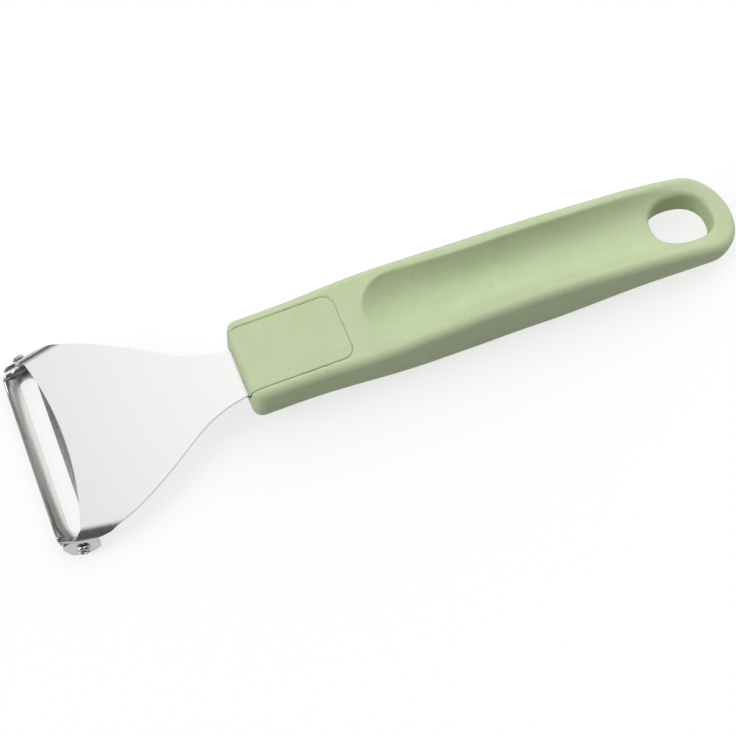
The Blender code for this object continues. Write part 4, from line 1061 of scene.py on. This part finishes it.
def blade_rows():
    """Rows from slot to edge at each station, and how many of them lie along the slot."""
    slot_end = SLOT_LENGTH / 2
    turn = np.linspace(0, np.pi / 2, 15)
    round_end = slot_end - SLOT_WIDTH / 2 * (1 - np.sin(turn))
    slot_part = np.concatenate([np.linspace(0, round_end[0], 28)[:-1], round_end])
    tip = LUG_TIP - LUG_TOP_ROUND * (1 - np.sin(np.linspace(0, np.pi / 2, 13)))
    past_slot, lug = np.linspace(slot_end, LUG_FOOT, 40)[1:-1], np.linspace(LUG_FOOT, tip[0], 4)[:-1]
    along = np.concatenate([slot_part, past_slot, lug, tip])
    inner, outer = blade_slot(along), blade_edge(along)
    inner[len(slot_part) - 1:] = 0.0
    even = np.linspace(0, 1, ROW_POINTS)
    share = ROW_CROWDING * ((1 - np.cos(np.pi * even)) / 2) + (1 - ROW_CROWDING) * even
    across = inner[:, None] + share[None] * (outer - inner)[:, None]
    return np.stack([across, np.repeat(along[:, None], len(share), 1)], -1), len(slot_part)


rows, slot_rows = blade_rows()
rims = [np.s_[:, -1], np.s_[:slot_rows, 0]]
front_half = faces_and_rims(rows, bend_blade, BLADE_SHEET / 2, rims)
rear_half = faces_and_rims(rows * TO_REAR, bend_blade, BLADE_SHEET / 2, rims)
BLADE_PITCH = TANG_TILT + HEAD_PITCH
BLADE_ORIGIN = set_down(np.array([PIVOT[0], 0.0, PIVOT[2]]), TANG_TILT, HEAD_ORIGIN)
blade_grids = [set_down(grid, BLADE_PITCH, BLADE_ORIGIN) for grid in both_sides(front_half + rear_half)]
blade = skin("trough_blade", blade_grids, blade_steel)
ease_edges(blade, BLADE_EASE, 2)
smooth(blade, SHEET_CREASE)
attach(blade, "blade")
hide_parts("swivel_blade")

# %% [markdown]
# The studs that the blade turns on are pierced out of the lugs, pushed through the ears and spread, so each ends
# in four bright petals round a dark bore. Four notches could be cut into a plain stud, but a spread petal has no
# cut faces. So a stud is a profile turned about the pivot, and its crown's radius and height dip four times on
# the way round. The third number of each point of the profile is how much of the dip it takes.

# %% The two studs
STUD_RADIUS, CROWN_RADIUS, CROWN_LENGTH, CROWN_BORE = 1.05, 1.5, 0.8, 0.5
NOTCH_WIDTH, RADIUS_DIP, HEIGHT_DIP = 0.15, 0.24, 0.2
DIP_FROM_SHARE, DIP_ABOVE_EAR = 0.25, 0.3


def stud_grid(side):
    """Profile of radius and height, turned round the pivot: radius * (1 - dip * share * notch)."""
    through_ear = LUG_CLEARANCE + SHEET + BLADE_SHEET / 2
    under, tip = through_ear + GAP, through_ear + GAP + CROWN_LENGTH
    profile = np.array([
        (0.0, -0.1, 0), (STUD_RADIUS, -0.1, 0), (STUD_RADIUS, 0.2, 0), (STUD_RADIUS, under - 0.1, 0),
        (STUD_RADIUS + 0.08, under, 0.3), (CROWN_RADIUS - 0.12, under + 0.05, 0.8),
        (CROWN_RADIUS, under + 0.2, 1), (CROWN_RADIUS - 0.06, under + 0.42, 1),
        (CROWN_RADIUS - 0.3, tip - 0.16, 1), (CROWN_RADIUS - 0.6, tip, 1), (CROWN_BORE + 0.2, tip - 0.05, 0.8),
        (CROWN_BORE, tip - 0.3, 0.3), (CROWN_BORE - 0.05, under * 0.7, 0), (0.0, under * 0.66, 0)])
    share = profile[:, 2:]
    turn = np.linspace(0, 2 * np.pi, 73)
    turn[-1] = 0.0
    notch = np.exp(-((np.mod(turn + np.pi / 4, np.pi / 2) - np.pi / 4) / NOTCH_WIDTH) ** 2)
    radius = profile[:, :1] * (1 - RADIUS_DIP * share * notch)
    above_ear = profile[:, 1:2] > under + DIP_ABOVE_EAR
    height = profile[:, 1:2] - HEIGHT_DIP * np.maximum(share - DIP_FROM_SHARE, 0) * notch * above_ear
    flip = np.array([1.0, side, 1.0])
    axis = np.append(EAR_OUT * np.cos(EAR_TILT), np.sin(EAR_TILT))
    first = np.append(EAR_ALONG, 0.0)
    second = np.cross(axis, first)
    spot = np.array([0.0, EAR_SPAN / 2, 0.0]) - axis * LUG_STEP
    points = (spot + radius[..., None] * (np.cos(turn)[:, None] * first + np.sin(turn)[:, None] * second)
              + height[..., None] * axis)
    return set_down(points * flip, BLADE_PITCH, BLADE_ORIGIN)


for side, name in ((1, "far_stud"), (-1, "near_stud")):
    stud = skin(name, [stud_grid(side)], blade_steel, STUD_CREASE)
    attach(stud, "blade")
    print(name, len(stud.data.polygons), "faces")

# %% [markdown]
# The camera stands where the photograph was taken from, high above the near side of the peeler and turned a
# little against it. Its place could be found by eye, but then every edge would be a little off. It was fitted to
# the outline of the peeler instead, and is kept as a place in metres, three turns in degrees and a lens in
# millimetres.

# %% Camera
CAMERA_PLACE = (-0.07888, -0.123402, 0.314307)
CAMERA_TURNS = (23.31776, -3.60227, -22.30829)
lens_data = bpy.data.cameras.new("camera")
lens_data.lens, lens_data.sensor_width = 70.103, 36.0
lens_data.clip_start = 0.01
camera = add_object("camera", lens_data)
turned = Euler(np.radians(CAMERA_TURNS)).to_matrix().to_4x4()
camera.matrix_world = Matrix.Translation(CAMERA_PLACE) @ turned
bpy.context.scene.camera = camera
print("camera", camera.location)

# %% [markdown]
# The peeler lies on white. A sheet of paper under the same plain light would look pale grey, and light that is
# strong enough to turn it white would wash the peeler out. So the floor is a large square with a white glow of
# its own, but only for the rays by which it is seen: straight from the camera, in polished metal or through
# glass. For every other ray it is plain matt paper, so the glow doesn't light the peeler. A quarter of what is
# seen is still the matt paper, which keeps the peeler's faint shadow.

# %% Floor
WHITE, PAPER = (1.0, 1.0, 1.0, 1.0), (0.6, 0.6, 0.6, 1.0)
FLOOR_HALF, FLOOR_GLOW = 3, 0.75
corners = [(FLOOR_HALF * x, FLOOR_HALF * y, 0) for x, y in ((-1, -1), (1, -1), (1, 1), (-1, 1))]
floor_mesh = bpy.data.meshes.new("floor")
floor_mesh.from_pydata(corners, [], [(0, 1, 2, 3)])
floor = add_object("floor", floor_mesh)
floor_material, sheet = new_material("pale_floor")
from_camera = sheet.node("ShaderNodeLightPath", out="Is Camera Ray")
in_metal = sheet.node("ShaderNodeLightPath", out="Is Glossy Ray")
through_glass = sheet.node("ShaderNodeLightPath", out="Is Transmission Ray")
seen = (from_camera + in_metal + through_glass).held()
matt = sheet.node("ShaderNodeBsdfDiffuse", {}, {"Color": sheet.mix(seen, PAPER, WHITE)})
white = sheet.node("ShaderNodeEmission", {}, {"Color": WHITE, "Strength": 1.0})
paper = sheet.node("ShaderNodeMixShader", {}, {0: seen * FLOOR_GLOW, 1: matt, 2: white})
sheet.node("ShaderNodeOutputMaterial", {}, {"Surface": paper})
floor_mesh.materials.append(floor_material)
print("floor", 2 * FLOOR_HALF, "m wide")

# %% [markdown]
# The light is a studio's: a broad soft box above and behind the handle, and a smaller, brighter one beyond the
# blade, in a dim room. They could be area lamps, but polished steel would mirror the hard rim of each. So they
# are ovals with soft edges in the sky, which is the same for every ray and from every side. The place of an oval
# is given as the x and y of its direction. The same oval lies below the horizon, where the floor hides it.

# %% Light
world = bpy.data.worlds.new("studio")
world.use_nodes = True
bpy.context.scene.world = world
sheet = Sheet(world.node_tree)
direction = sheet.node("ShaderNodeTexCoord", out="Generated")


def soft_box(middle, half_size, softness, strength):
    """Oval lamp: strength * smooth step of 1 - |(direction - middle) / half size|, in x and y."""
    off = sheet.node("ShaderNodeVectorMath", {"operation": "SUBTRACT"}, {0: direction, 1: (*middle, 0.0)})
    shares = {0: off, 1: (1 / half_size[0], 1 / half_size[1], 0.0)}
    far = sheet.node("ShaderNodeVectorMath", {"operation": "MULTIPLY"}, shares)
    far = sheet.node("ShaderNodeVectorMath", {"operation": "LENGTH"}, {0: far}, out=1)
    steps = {"Value": far, "From Min": 1 + softness, "From Max": 1 - softness, "To Max": strength}
    return sheet.node("ShaderNodeMapRange", {"interpolation_type": "SMOOTHSTEP"}, steps)


SKY_DIM = 0.15
overhead = soft_box(middle=(0.50, 0.40), half_size=(0.86, 0.52), softness=0.40, strength=1.6)
beyond_blade = soft_box(middle=(-0.74, 0.01), half_size=(0.40, 0.25), softness=0.26, strength=3.5)
glow = {"Color": WHITE, "Strength": overhead + beyond_blade + SKY_DIM}
sky = sheet.node("ShaderNodeBackground", {}, glow)
sheet.node("ShaderNodeOutputWorld", {}, {"Surface": sky})
bpy.context.scene.view_settings.view_transform = "Standard"
print("sky with two soft boxes over a dim", SKY_DIM)

# %% [markdown] A finer surface may not change the size of the part.
